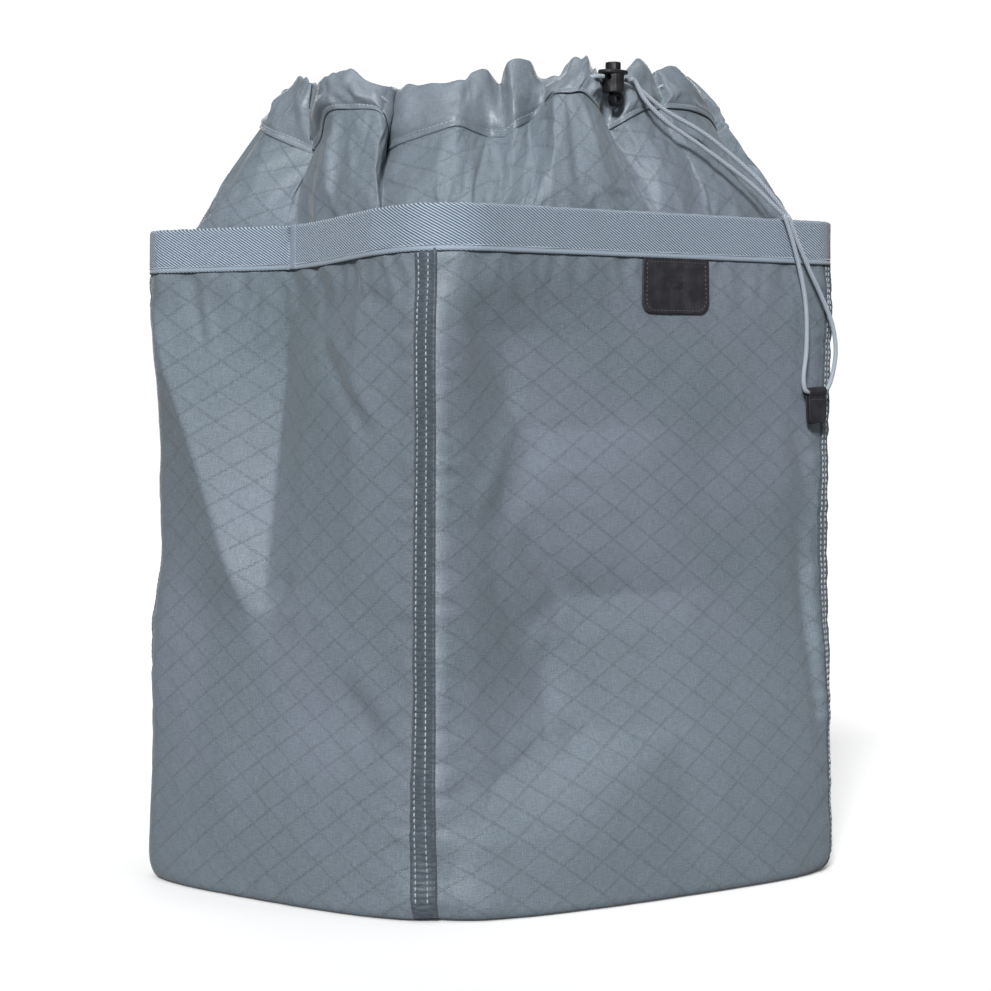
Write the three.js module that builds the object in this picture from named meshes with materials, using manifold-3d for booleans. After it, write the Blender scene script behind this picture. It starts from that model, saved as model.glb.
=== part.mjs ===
// Drawstring laundry bag standing upright on its base.
//
// Four fabric walls with felled corner seams stand on a stiffened base. A folded webbing
// tape binds the rim. A gathered collar rises inside the rim and ends in a casing that
// holds the drawcord, which leaves the casing at the front, runs through a cord lock and
// hangs over the rim in a loop with a pull tab.
//
// Millimetres. +Z is up, +X runs along the front wall, -Y is the front.
// The origin is the centre of the base, on the floor.

import * as THREE from 'three';
import { mergeVertices } from 'three/addons/utils/BufferGeometryUtils.js';
import Module from 'manifold-3d';

// ---------------------------------------------------------------- driving dimensions

const HALF_WIDTH = 160;          // bag, along X
const HALF_DEPTH = 132.5;        // bag, along Y
const CORNER_RADIUS = 48;
const RIM_HEIGHT = 373;
const BAG_TOP = 458;             // top of the casing
const FABRIC = 1.2;              // thickness given to every cloth layer
const GAP = 0.3;                 // clearance between neighbouring layers

const WALL_FOOT = 7.6;           // height where the walls meet the base panel
const TAPE_HEIGHT = 25;          // webbing, each leg
const SEAM_WIDTH = 14;           // felled corner seam

const RIM_DROP = 6.5;            // how far the rim sags on the left
const CREASE_DEPTH = 20;         // how far the left wall is pushed in at the rim
const CREASE_Y = 14;
const CREASE_HALF_WIDTH = 90;
const CREASE_FOOT = 140;         // height where the crease has faded out
const CREASE_TOP = 336;          // height above which it keeps its full depth

const COLLAR_FOOT = 341;         // where the collar is sewn to the walls
const CASING_FOOT = 430;         // stitch line under the casing
const MOUTH_HALF_WIDTH = 110;    // gathered mouth at BAG_TOP
const MOUTH_HALF_DEPTH = 92;
const MOUTH_POWER = 2.5;         // superellipse exponent of the mouth

const CORD_RADIUS = 1.25;
const CASING_CORD_HEIGHT = 445;  // drawcord inside the casing

const LOCK_X = -10.7;            // cord lock, upright, its two bores along X
const LOCK_Y = -108.2;
const LOCK_CORD_HEIGHT = 447.5;
const LOCK_CORD_SPREAD = 2.1;    // each cord from the lock's middle, along Y
const BUTTON_TRAVEL = 2.4;

const SWING_Y = -136.6;          // where the hanging loop turns over the rim
const SWING_HEIGHT = 374.8;

const LABEL_X = 13;
const LABEL_WIDTH = 52;
const LABEL_HEIGHT = 30;

const TAB_X = 123;
const TAB_Y = -137.8;
const TAB_CORD_HEIGHT = 275;
const TAB_WIDTH = 14;
const TAB_HEIGHT = 21;

const ARC_STEPS = 3;             // facets in half a corner
const STRAIGHT_STEPS = 8;        // facets in a wall's straight stretch
const SIDE_STEPS = 2 * ARC_STEPS + STRAIGHT_STEPS;
const RING_STEPS = 4 * SIDE_STEPS;

// ---------------------------------------------------------------- colours

const FABRIC_COLOUR = 0x6c7a84;
const CASING_COLOUR = 0x7c8994;
const TAPE_COLOUR = 0x8595a6;
const SEAM_COLOUR = 0x5f6972;
const BASE_COLOUR = 0x3b444a;
const BOARD_COLOUR = 0x2c2e30;
const CORD_COLOUR = 0xa3abb6;
const LEATHER_COLOUR = 0x2f2e34;
const PLASTIC_COLOUR = 0x17171a;
const STEEL_COLOUR = 0xa8aaad;

// ---------------------------------------------------------------- plan outline

// Quarter turns of the four corners, walked anticlockwise from the front left corner.
const CORNERS = [
  { x: -1, y: -1, start: Math.PI },
  { x: 1, y: -1, start: 1.5 * Math.PI },
  { x: 1, y: 1, start: 0 },
  { x: -1, y: 1, start: 0.5 * Math.PI },
];

function cornerStation(corner, fraction) {
  const angle = corner.start + fraction * 0.5 * Math.PI;
  const nx = Math.cos(angle);
  const ny = Math.sin(angle);
  return {
    x: corner.x * (HALF_WIDTH - CORNER_RADIUS) + CORNER_RADIUS * nx,
    y: corner.y * (HALF_DEPTH - CORNER_RADIUS) + CORNER_RADIUS * ny,
    nx,
    ny,
  };
}

function mix(a, b, t) {
  return a + (b - a) * t;
}

// Stations on the outside of the walls. Each side starts and ends half way round a corner:
// front, right, back, left.
function ringStations() {
  const stations = [];
  CORNERS.forEach((corner, side) => {
    const next = CORNERS[(side + 1) % 4];
    for (let i = 0; i < ARC_STEPS; i += 1) {
      stations.push(cornerStation(corner, 0.5 + 0.5 * i / ARC_STEPS));
    }
    const from = cornerStation(corner, 1);
    const to = cornerStation(next, 0);
    for (let i = 0; i < STRAIGHT_STEPS; i += 1) {
      const t = i / STRAIGHT_STEPS;
      stations.push({ x: mix(from.x, to.x, t), y: mix(from.y, to.y, t), nx: from.nx, ny: from.ny });
    }
    for (let i = 0; i < ARC_STEPS; i += 1) {
      stations.push(cornerStation(next, 0.5 * i / ARC_STEPS));
    }
  });
  return stations;
}

const RING = ringStations();

// Point between two ring stations, so that every layer has the same facets.
function between(u, pointAt) {
  const low = Math.floor(u);
  const station = (index) => RING[((index % RING_STEPS) + RING_STEPS) % RING_STEPS];
  return pointAt(station(low)).lerp(pointAt(station(low + 1)), u - low);
}

// Ring positions of an open panel, kept a little short of both ends.
function panelPositions(first, last, shy) {
  const positions = [first + shy];
  for (let i = first + 1; i < last; i += 1) positions.push(i);
  positions.push(last - shy);
  return positions;
}

function ringPositions() {
  return RING.map((_, index) => index);
}

// ---------------------------------------------------------------- shape of the cloth

// The left wall is pushed in by a V-shaped crease that is deepest at the rim.
function creaseDepth(station, z) {
  if (station.x > -0.9 * HALF_WIDTH) return 0;
  const across = Math.max(0, 1 - Math.abs(station.y - CREASE_Y) / CREASE_HALF_WIDTH);
  return CREASE_DEPTH * across * THREE.MathUtils.smoothstep(z, CREASE_FOOT, CREASE_TOP);
}

// The rim sags on the left side, from the front left corner backwards.
function rimDrop(station) {
  const leftness = THREE.MathUtils.smoothstep(-station.x, 0, HALF_WIDTH);
  const back = THREE.MathUtils.smoothstep(station.y, -HALF_DEPTH, CREASE_Y);
  return RIM_DROP * leftness * back;
}

// Point on the walls: offset is measured outwards from their outer face.
function wallPoint(u, offset, z) {
  return between(u, (station) => {
    const out = offset - creaseDepth(station, z);
    const drop = rimDrop(station) * z / RIM_HEIGHT;
    return new THREE.Vector3(station.x + station.nx * out, station.y + station.ny * out, z - drop);
  });
}

function signedPower(value, power) {
  return Math.sign(value) * Math.abs(value) ** power;
}

// Point of the gathered mouth that belongs to a rim station, with its outward direction.
function mouthStation(station) {
  const angle = Math.atan2(station.y / HALF_DEPTH, station.x / HALF_WIDTH);
  const power = 2 / MOUTH_POWER;
  const x = MOUTH_HALF_WIDTH * signedPower(Math.cos(angle), power);
  const y = MOUTH_HALF_DEPTH * signedPower(Math.sin(angle), power);
  const slopeX = signedPower(x / MOUTH_HALF_WIDTH, MOUTH_POWER - 1) / MOUTH_HALF_WIDTH;
  const slopeY = signedPower(y / MOUTH_HALF_DEPTH, MOUTH_POWER - 1) / MOUTH_HALF_DEPTH;
  const length = Math.hypot(slopeX, slopeY);
  return { x, y, nx: slopeX / length, ny: slopeY / length };
}

// Point on the collar's cone: below COLLAR_FOOT it runs down the inside of the walls.
function collarPoint(u, offset, z) {
  const rise = Math.max(0, (z - COLLAR_FOOT) / (BAG_TOP - COLLAR_FOOT));
  const inset = FABRIC + GAP + 0.5 * FABRIC;
  return between(u, (station) => {
    const mouth = mouthStation(station);
    const push = creaseDepth(station, z) + inset;
    const footX = station.x - station.nx * push;
    const footY = station.y - station.ny * push;
    const normal = new THREE.Vector2(mix(station.nx, mouth.nx, rise), mix(station.ny, mouth.ny, rise));
    normal.normalize();
    const drop = rimDrop(station) * (1 - rise);
    return new THREE.Vector3(
      mix(footX, mouth.x, rise) + normal.x * offset,
      mix(footY, mouth.y, rise) + normal.y * offset,
      z - drop,
    );
  });
}

// ---------------------------------------------------------------- solid builders

function geometryFrom(points, triangles) {
  const geometry = new THREE.BufferGeometry();
  geometry.setAttribute('position', new THREE.Float32BufferAttribute(points.flatMap((p) => p.toArray()), 3));
  geometry.setIndex(enclosedVolume(points, triangles) < 0 ? triangles.slice().reverse() : triangles);
  return geometry;
}

function enclosedVolume(points, triangles) {
  let volume = 0;
  for (let i = 0; i < triangles.length; i += 3) {
    const [a, b, c] = triangles.slice(i, i + 3).map((index) => points[index]);
    volume += a.dot(b.clone().cross(c)) / 6;
  }
  return volume;
}

// Sweeps a closed profile of [offset, z] points along ring positions. An open sweep gets
// flat ends.
function sweep(positions, profile, pointAt, closed) {
  const count = profile.length;
  const points = positions.flatMap((u) => profile.map(([offset, z]) => pointAt(u, offset, z)));
  const triangles = [];
  const spans = closed ? positions.length : positions.length - 1;
  for (let i = 0; i < spans; i += 1) {
    const here = i * count;
    const there = ((i + 1) % positions.length) * count;
    for (let j = 0; j < count; j += 1) {
      const k = (j + 1) % count;
      triangles.push(here + j, there + j, there + k, here + j, there + k, here + k);
    }
  }
  if (!closed) {
    const outline = profile.map(([offset, z]) => new THREE.Vector2(offset, z));
    const far = (positions.length - 1) * count;
    THREE.ShapeUtils.triangulateShape(outline, []).forEach((face) => {
      const [a, b, c] = profileFace(outline, face);
      triangles.push(a, b, c, far + a, far + c, far + b);
    });
  }
  return geometryFrom(points, triangles);
}

// Turns an end face so that it continues the winding of the swept sides.
function profileFace(outline, face) {
  const turn = (p, q, r) => (q.x - p.x) * (r.y - p.y) - (q.y - p.y) * (r.x - p.x);
  const faceTurn = turn(...face.map((index) => outline[index]));
  const outlineTurn = THREE.ShapeUtils.area(outline);
  return faceTurn * outlineTurn > 0 ? face : [face[0], face[2], face[1]];
}

// A plate or tray: a profile of [offset, z] points that starts and ends over the middle.
function dish(profile) {
  const rings = profile.slice(1, -1);
  const points = ringPositions().flatMap((u) => rings.map(([offset, z]) => wallPoint(u, offset, z)));
  const lower = points.push(new THREE.Vector3(0, 0, profile[0][1])) - 1;
  const upper = points.push(new THREE.Vector3(0, 0, profile[profile.length - 1][1])) - 1;
  const triangles = [];
  for (let i = 0; i < RING_STEPS; i += 1) {
    const here = i * rings.length;
    const there = ((i + 1) % RING_STEPS) * rings.length;
    for (let j = 0; j < rings.length - 1; j += 1) {
      triangles.push(here + j, there + j, there + j + 1, here + j, there + j + 1, here + j + 1);
    }
    triangles.push(lower, there, here);
    triangles.push(upper, here + rings.length - 1, there + rings.length - 1);
  }
  return geometryFrom(points, triangles);
}

// Profile of one cloth layer, from its outer face at offset down to low and up to high.
function layerProfile(offset, levels, thickness = FABRIC) {
  const outer = levels.map((z) => [offset, z]);
  const inner = levels.map((z) => [offset - thickness, z]);
  return outer.concat(inner.reverse());
}

function levelsBetween(low, high, steps) {
  return Array.from({ length: steps + 1 }, (_, index) => mix(low, high, index / steps));
}

function tube(points, radius, steps) {
  const sides = 6;
  const circle = new THREE.Shape(Array.from({ length: sides }, (_, index) => {
    const angle = 2 * Math.PI * index / sides;
    return new THREE.Vector2(radius * Math.cos(angle), radius * Math.sin(angle));
  }));
  const path = new THREE.CatmullRomCurve3(points, false, 'centripetal');
  return new THREE.ExtrudeGeometry(circle, { extrudePath: path, steps });
}

function ellipsePrism(halfX, halfY, low, high, bevel) {
  const shape = new THREE.Shape();
  shape.absellipse(0, 0, halfX - bevel, halfY - bevel, 0, 2 * Math.PI);
  const geometry = new THREE.ExtrudeGeometry(shape, {
    depth: high - low - 2 * bevel,
    bevelEnabled: bevel > 0,
    bevelSize: bevel,
    bevelThickness: bevel,
    bevelSegments: 2,
    curveSegments: 12,
  });
  return geometry.translate(0, 0, low + bevel);
}

const wasm = await Module();
wasm.setup();

function toSolid(geometry) {
  const bare = geometry.clone();
  bare.deleteAttribute('normal');
  bare.deleteAttribute('uv');
  const merged = mergeVertices(bare, 1e-4);
  return new wasm.Manifold(new wasm.Mesh({
    numProp: 3,
    vertProperties: new Float32Array(merged.attributes.position.array),
    triVerts: new Uint32Array(merged.index.array),
  }));
}

function toGeometry(solid) {
  const mesh = solid.getMesh();
  const geometry = new THREE.BufferGeometry();
  geometry.setAttribute('position', new THREE.BufferAttribute(new Float32Array(mesh.vertProperties), 3));
  geometry.setIndex(new THREE.BufferAttribute(new Uint32Array(mesh.triVerts), 1));
  return geometry;
}

// ---------------------------------------------------------------- assembly

const bag = new THREE.Group();

function addPiece(name, geometry, colour, roughness, metalness = 0) {
  const material = new THREE.MeshStandardMaterial({ color: colour, roughness, metalness });
  const mesh = new THREE.Mesh(geometry, material);
  mesh.name = name;
  bag.add(mesh);
}

// Base: a dark panel with turned-up edges, a stiff board, a lining and the tape that binds
// the seam inside.
function addBase() {
  const panel = dish([
    [0, 0], [-11, 0], [-4.5, 1.4], [-1.2, 4], [0, WALL_FOOT - GAP],
    [-FABRIC, WALL_FOOT - GAP], [-2.8, 4.6], [-5.6, 2.4], [-11, FABRIC], [0, FABRIC],
  ]);
  addPiece('base_panel', panel, BASE_COLOUR, 0.7);

  const boardLow = FABRIC + GAP;
  const boardHigh = boardLow + 2;
  const board = dish([[0, boardLow], [-12, boardLow], [-12, boardHigh], [0, boardHigh]]);
  addPiece('base_board', board, BOARD_COLOUR, 0.6);

  const liningLow = boardHigh + GAP;
  const liningHigh = liningLow + 0.8;
  const lining = dish([[0, liningLow], [-8, liningLow], [-8, liningHigh], [0, liningHigh]]);
  addPiece('base_lining', lining, BASE_COLOUR, 0.8);

  const bindingFoot = WALL_FOOT + 1;
  const binding = layerProfile(-FABRIC - GAP, [bindingFoot, bindingFoot + 12]);
  addPiece('base_seam_binding', sweep(ringPositions(), binding, wallPoint, true), TAPE_COLOUR, 0.8);
}

// Walls: each panel runs from the middle of one corner to the middle of the next.
function addWalls() {
  const levels = [...levelsBetween(WALL_FOOT, CREASE_TOP, 6), RIM_HEIGHT - FABRIC - GAP];
  ['wall_front', 'wall_right', 'wall_back', 'wall_left'].forEach((name, side) => {
    const positions = panelPositions(side * SIDE_STEPS, (side + 1) * SIDE_STEPS, 0.03);
    const geometry = sweep(positions, layerProfile(0, levels), wallPoint, false);
    addPiece(name, geometry, FABRIC_COLOUR, 0.45);
  });
}

// Felled seams: a stitched strip over the joint of two panels at each corner.
function addCornerSeams() {
  const facet = CORNER_RADIUS * 0.25 * Math.PI / ARC_STEPS;
  const reach = 0.5 * SEAM_WIDTH / facet;
  const top = RIM_HEIGHT - TAPE_HEIGHT - GAP;
  const profile = layerProfile(GAP + 0.9, levelsBetween(WALL_FOOT, top, 7), 0.9);
  ['seam_front_left', 'seam_front_right', 'seam_back_right', 'seam_back_left'].forEach((name, corner) => {
    const middle = corner * SIDE_STEPS;
    const positions = [middle - reach, middle, middle + reach];
    addPiece(name, sweep(positions, profile, wallPoint, false), SEAM_COLOUR, 0.6);
  });
}

// Webbing folded over the rim, one leg outside and one inside.
function addRimWebbing() {
  const outer = GAP + FABRIC;
  const inner = -2 * FABRIC - GAP;
  const foot = RIM_HEIGHT - TAPE_HEIGHT;
  const roof = RIM_HEIGHT - FABRIC;
  const profile = [
    [outer, foot], [outer, RIM_HEIGHT - 0.5], [outer - 0.5, RIM_HEIGHT],
    [inner + 0.5, RIM_HEIGHT], [inner, RIM_HEIGHT - 0.5], [inner, foot],
    [inner + FABRIC, foot], [inner + FABRIC, roof], [GAP, roof], [GAP, foot],
  ];
  addPiece('rim_webbing', sweep(ringPositions(), profile, wallPoint, true), TAPE_COLOUR, 0.75);
}

// Collar: two panels that lean inwards from the walls to the casing.
function addCollar() {
  const top = CASING_FOOT + 4;
  const levels = [COLLAR_FOOT - 7, ...levelsBetween(COLLAR_FOOT, top, 4)];
  const profile = layerProfile(0.5 * FABRIC, levels);
  const half = 0.5 * SIDE_STEPS;
  const front = panelPositions(-half, 3 * half, 0.015);
  const back = panelPositions(3 * half, 7 * half, 0.015);
  addPiece('collar_front', sweep(front, profile, collarPoint, false), FABRIC_COLOUR, 0.4);
  addPiece('collar_back', sweep(back, profile, collarPoint, false), FABRIC_COLOUR, 0.4);
}

// Casing: a folded strip over the collar's top edge, with a slot at the front where both
// ends of the drawcord come out.
const SLOT_X = -29;
const SLOT_LENGTH = 28;

function addCasing() {
  const leg = 1;
  const inside = CORD_RADIUS + 1.1;
  const outside = inside + leg;
  const roof = BAG_TOP - leg;
  const profile = [
    [outside, CASING_FOOT], [outside, BAG_TOP - 0.5], [outside - 0.5, BAG_TOP],
    [0.5 - outside, BAG_TOP], [-outside, BAG_TOP - 0.5], [-outside, CASING_FOOT],
    [-inside, CASING_FOOT], [-inside, roof], [inside, roof], [inside, CASING_FOOT],
  ];
  const strip = toSolid(sweep(ringPositions(), profile, collarPoint, true));
  const slot = new THREE.BoxGeometry(SLOT_LENGTH, 10, 7);
  slot.translate(SLOT_X, -99, CASING_CORD_HEIGHT + 1);
  addPiece('drawcord_casing', toGeometry(strip.subtract(toSolid(slot))), CASING_COLOUR, 0.4);
}

// The cord inside the casing, then both its ends through the lock and down to the rim.
function addDrawcord() {
  const frontY = LOCK_Y - LOCK_CORD_SPREAD;
  const rearY = LOCK_Y + LOCK_CORD_SPREAD;
  const height = LOCK_CORD_HEIGHT;
  const lockLeft = LOCK_X - 10;
  const lockRight = LOCK_X + 8.5;
  const firstStation = 5;
  const lastStation = firstStation + 2 - RING_STEPS;

  const frontEnd = [
    [96.4, SWING_Y, SWING_HEIGHT], [50, -123.5, 410], [lockRight + 4, frontY - 0.8, height - 3.3],
    [lockRight, frontY, height], [lockRight - 4, frontY, height], [lockLeft + 4, frontY, height],
    [lockLeft, frontY, height], [-28.5, -107.3, height - 0.4],
    [-34.5, -102.3, height - 0.9], [-38.5, -97.6, CASING_CORD_HEIGHT + 0.8],
  ];
  const rearEnd = [
    [-19.5, -95.9, CASING_CORD_HEIGHT + 0.1], [-25, -97.2, CASING_CORD_HEIGHT + 0.6],
    [-27.4, -100, CASING_CORD_HEIGHT + 1.3], [-25.6, rearY + 1.9, height - 0.5],
    [lockLeft, rearY, height], [lockLeft + 4, rearY, height], [lockRight - 4, rearY, height],
    [lockRight, rearY, height], [lockRight + 4.5, rearY - 1, height - 3.5],
    [53, -121, 411.5], [100.2, SWING_Y, SWING_HEIGHT],
  ];
  const inCasing = [collarPoint(firstStation + 0.2, 0, CASING_CORD_HEIGHT)];
  for (let u = firstStation; u >= lastStation; u -= 1) {
    inCasing.push(collarPoint(u, 0, CASING_CORD_HEIGHT));
  }
  inCasing.push(collarPoint(lastStation - 0.5, 0, CASING_CORD_HEIGHT));
  const path = [...toVectors(frontEnd), ...inCasing, ...toVectors(rearEnd)];
  addPiece('drawcord', tube(path, CORD_RADIUS, 150), CORD_COLOUR, 0.8);
}

function toVectors(rows) {
  return rows.map(([x, y, z]) => new THREE.Vector3(x, y, z));
}

// The loop that hangs over the rim and carries the pull tab.
function addDrawcordLoop() {
  const loop = [
    [97.2, SWING_Y - 0.2, SWING_HEIGHT - 1.8], [103.5, -137.4, 359], [111, -137.8, 339],
    [115, -137.8, 321], [115.2, -137.8, 300], [112.8, -137.8, 284], [113.2, -137.8, 277.2],
    [116, TAB_Y, TAB_CORD_HEIGHT], [119.5, TAB_Y, TAB_CORD_HEIGHT], [126.5, TAB_Y, TAB_CORD_HEIGHT],
    [130.2, TAB_Y, TAB_CORD_HEIGHT + 0.2], [135, -138.6, 280.5], [138.2, -139.8, 297], [135.5, -139.8, 313],
    [127, -139, 329], [117, -138.2, 344], [108, -137.6, 359],
    [101, SWING_Y - 0.2, SWING_HEIGHT - 1.8],
  ];
  addPiece('drawcord_loop', tube(toVectors(loop), CORD_RADIUS, 60), CORD_COLOUR, 0.8);
}

// Cord lock: an upright oval barrel with a flange, two cord bores, a ring underneath and a
// well for the sprung button.
const WELL_HALF_X = 4.3;
const WELL_HALF_Y = 5;
const WELL_FLOOR = LOCK_CORD_HEIGHT - 7.2;
const LOCK_FOOT = WELL_FLOOR - 1.2;
const FLANGE_TOP = LOCK_CORD_HEIGHT + 4.2;

function addCordLock() {
  const barrel = ellipsePrism(6, 6.3, LOCK_FOOT, FLANGE_TOP, 0.8);
  const flange = ellipsePrism(9.6, 6.6, FLANGE_TOP - 2.2, FLANGE_TOP, 0.7);

  const ringShape = new THREE.Shape();
  ringShape.absarc(0, 0, 4.6, 0, 2 * Math.PI);
  const hole = new THREE.Path();
  hole.absarc(0, 0, 2.5, 0, 2 * Math.PI, true);
  ringShape.holes.push(hole);
  const ring = new THREE.ExtrudeGeometry(ringShape, { depth: 3, bevelEnabled: false, curveSegments: 10 });
  ring.rotateX(0.5 * Math.PI);
  ring.translate(2, 1.5, LOCK_FOOT - 3.4);

  const well = ellipsePrism(WELL_HALF_X, WELL_HALF_Y, WELL_FLOOR, FLANGE_TOP + 1, 0);
  let solid = toSolid(barrel).add(toSolid(flange)).add(toSolid(ring)).subtract(toSolid(well));
  [-LOCK_CORD_SPREAD, LOCK_CORD_SPREAD].forEach((y) => {
    const bore = new THREE.CylinderGeometry(CORD_RADIUS + 0.35, CORD_RADIUS + 0.35, 30, 12);
    bore.rotateZ(0.5 * Math.PI);
    bore.translate(0, y, LOCK_CORD_HEIGHT);
    solid = solid.subtract(toSolid(bore));
  });
  const geometry = toGeometry(solid).translate(LOCK_X, LOCK_Y, 0);
  addPiece('cord_lock_body', geometry, PLASTIC_COLOUR, 0.4);
}

// Button: an oval plunger with a window for the cords, tall enough for its travel.
function addLockButton() {
  const clearance = 0.35;
  const windowFloor = LOCK_CORD_HEIGHT - CORD_RADIUS - 0.2;
  const windowHeight = 2 * CORD_RADIUS + BUTTON_TRAVEL + 0.5;
  const foot = windowFloor - 1.6;
  const plunger = ellipsePrism(
    WELL_HALF_X - clearance, WELL_HALF_Y - clearance, foot, FLANGE_TOP + 4.4, 0.7,
  );
  const cordWindow = new THREE.BoxGeometry(20, 2 * (LOCK_CORD_SPREAD + CORD_RADIUS) + 0.7, windowHeight);
  cordWindow.translate(0, 0, windowFloor + 0.5 * windowHeight);
  const geometry = toGeometry(toSolid(plunger).subtract(toSolid(cordWindow)));
  addPiece('cord_lock_button', geometry.translate(LOCK_X, LOCK_Y, 0), PLASTIC_COLOUR, 0.35);
}

// Compression spring on the floor of the well, under the button.
function addLockSpring() {
  const wire = 0.3;
  const coil = 2.2;
  const turns = 3;
  const low = WELL_FLOOR + wire + 0.15;
  const high = LOCK_CORD_HEIGHT - CORD_RADIUS - 1.8 - wire - 0.15;
  const stepsPerTurn = 12;
  const points = Array.from({ length: turns * stepsPerTurn + 1 }, (_, index) => {
    const angle = 2 * Math.PI * index / stepsPerTurn;
    const z = mix(low, high, index / (turns * stepsPerTurn));
    return new THREE.Vector3(coil * Math.cos(angle), coil * Math.sin(angle), z);
  });
  const geometry = tube(points, wire, turns * stepsPerTurn).translate(LOCK_X, LOCK_Y, 0);
  addPiece('cord_lock_spring', geometry, STEEL_COLOUR, 0.3, 1);
}

// Pull tab: a strip folded over the cord, its two layers sewn together below.
function addPullTab() {
  const halfThickness = 1.2;
  const eye = CORD_RADIUS + 0.5;
  const eyeWall = eye + 1.1;
  const neck = -Math.sqrt(eyeWall ** 2 - halfThickness ** 2);
  const shape = new THREE.Shape();
  shape.moveTo(-halfThickness, neck);
  shape.lineTo(-halfThickness, eyeWall - TAB_HEIGHT);
  shape.lineTo(halfThickness, eyeWall - TAB_HEIGHT);
  shape.lineTo(halfThickness, neck);
  const start = Math.atan2(neck, halfThickness);
  shape.absarc(0, 0, eyeWall, start, Math.PI - start, false);
  const hole = new THREE.Path();
  hole.absarc(0, 0, eye, 0, 2 * Math.PI, true);
  shape.holes.push(hole);
  const geometry = new THREE.ExtrudeGeometry(shape, {
    depth: TAB_WIDTH, bevelEnabled: false, curveSegments: 12,
  });
  // The profile's first axis becomes Y and its second becomes Z.
  geometry.applyMatrix4(new THREE.Matrix4().set(
    0, 0, 1, TAB_X - 0.5 * TAB_WIDTH,
    1, 0, 0, TAB_Y,
    0, 1, 0, TAB_CORD_HEIGHT,
    0, 0, 0, 1,
  ));
  addPiece('pull_tab', geometry, LEATHER_COLOUR, 0.55);
}

// Label patch hanging from the webbing's lower edge, with round lower corners.
function addLabelPatch() {
  const thickness = 1.6;
  const cornerRadius = 7;
  const halfWidth = 0.5 * LABEL_WIDTH;
  const shape = new THREE.Shape();
  shape.moveTo(-halfWidth, 0);
  shape.lineTo(-halfWidth, cornerRadius - LABEL_HEIGHT);
  shape.absarc(cornerRadius - halfWidth, cornerRadius - LABEL_HEIGHT, cornerRadius, Math.PI, 1.5 * Math.PI);
  shape.absarc(halfWidth - cornerRadius, cornerRadius - LABEL_HEIGHT, cornerRadius, 1.5 * Math.PI, 2 * Math.PI);
  shape.lineTo(halfWidth, 0);
  const geometry = new THREE.ExtrudeGeometry(shape, {
    depth: thickness, bevelEnabled: false, curveSegments: 6,
  });
  geometry.rotateX(0.5 * Math.PI);
  geometry.translate(LABEL_X, -HALF_DEPTH - GAP, RIM_HEIGHT - TAPE_HEIGHT - GAP);
  addPiece('label_patch', geometry, LEATHER_COLOUR, 0.6);
}

addBase();
addWalls();
addCornerSeams();
addRimWebbing();
addCollar();
addCasing();
addDrawcord();
addDrawcordLoop();
addCordLock();
addLockButton();
addLockSpring();
addPullTab();
addLabelPatch();

export default bag;
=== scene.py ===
"""Drawstring laundry bag, dressed in cloth, webbing, cord and moulded plastic.

Lengths inside the shape functions are millimetres in the CAD frame: +Z up, +X along the
front wall, -Y the front. make_mesh turns them into metres.
"""

import math

import bpy
import numpy as np
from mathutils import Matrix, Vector


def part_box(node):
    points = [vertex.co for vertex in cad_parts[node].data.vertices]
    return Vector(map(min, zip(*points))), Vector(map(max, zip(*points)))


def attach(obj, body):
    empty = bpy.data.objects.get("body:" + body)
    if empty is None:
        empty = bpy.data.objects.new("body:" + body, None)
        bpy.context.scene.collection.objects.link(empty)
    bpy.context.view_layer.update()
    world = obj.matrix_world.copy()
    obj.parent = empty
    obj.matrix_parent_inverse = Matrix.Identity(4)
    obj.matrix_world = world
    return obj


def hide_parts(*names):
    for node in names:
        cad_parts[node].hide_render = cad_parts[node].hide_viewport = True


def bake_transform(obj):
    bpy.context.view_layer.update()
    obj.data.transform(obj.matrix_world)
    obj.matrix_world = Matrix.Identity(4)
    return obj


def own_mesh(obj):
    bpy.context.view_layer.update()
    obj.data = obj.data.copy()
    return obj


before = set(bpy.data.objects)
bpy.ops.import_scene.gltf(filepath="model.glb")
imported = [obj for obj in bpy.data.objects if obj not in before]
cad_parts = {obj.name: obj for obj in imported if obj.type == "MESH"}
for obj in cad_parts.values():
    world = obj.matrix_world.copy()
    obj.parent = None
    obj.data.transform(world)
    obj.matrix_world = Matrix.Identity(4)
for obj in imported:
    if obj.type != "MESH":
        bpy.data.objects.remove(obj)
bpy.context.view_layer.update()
MM = 0.001

# ------------------------------------------------------------------ dimensions of the bag

HALF_WIDTH = 160.0
HALF_DEPTH = 132.5
CORNER_RADIUS = 32.0
RIM_HEIGHT = 373.0
WALL_FOOT = 7.6
WALL_TOP = 370.5
TAPE_FOOT = 348.0
CLOTH = 0.6

RIM_DROP = 6.5
CREASE_DEPTH = 20.0
CREASE_Y = 14.0
CREASE_HALF_WIDTH = 90.0
CREASE_FOOT = 140.0
CREASE_TOP = 336.0

HALF_ARC = 0.25 * math.pi * CORNER_RADIUS
FRONT_RUN = 2 * (HALF_WIDTH - CORNER_RADIUS)
SIDE_RUN = 2 * (HALF_DEPTH - CORNER_RADIUS)
FRONT_SIDE = FRONT_RUN + 2 * HALF_ARC
RIGHT_SIDE = SIDE_RUN + 2 * HALF_ARC
PERIMETER = 2 * (FRONT_SIDE + RIGHT_SIDE)
CORNERS = (0.0, FRONT_SIDE, FRONT_SIDE + RIGHT_SIDE, 2 * FRONT_SIDE + RIGHT_SIDE)
WALL_REACH = 0.7        # the cloth rolls under nearly to the floor
SEAM_SHIFT = -9.0       # the seams lie a little before the middle of their corners
SEAM_NAMES = ("front_left", "front_right", "back_right", "back_left")
SEAMS = {name: corner + SEAM_SHIFT for name, corner in zip(SEAM_NAMES, CORNERS)}
SEAM_ROWS = (-3.6, 1.8)  # the two stitch rows, measured from the middle of a seam
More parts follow.
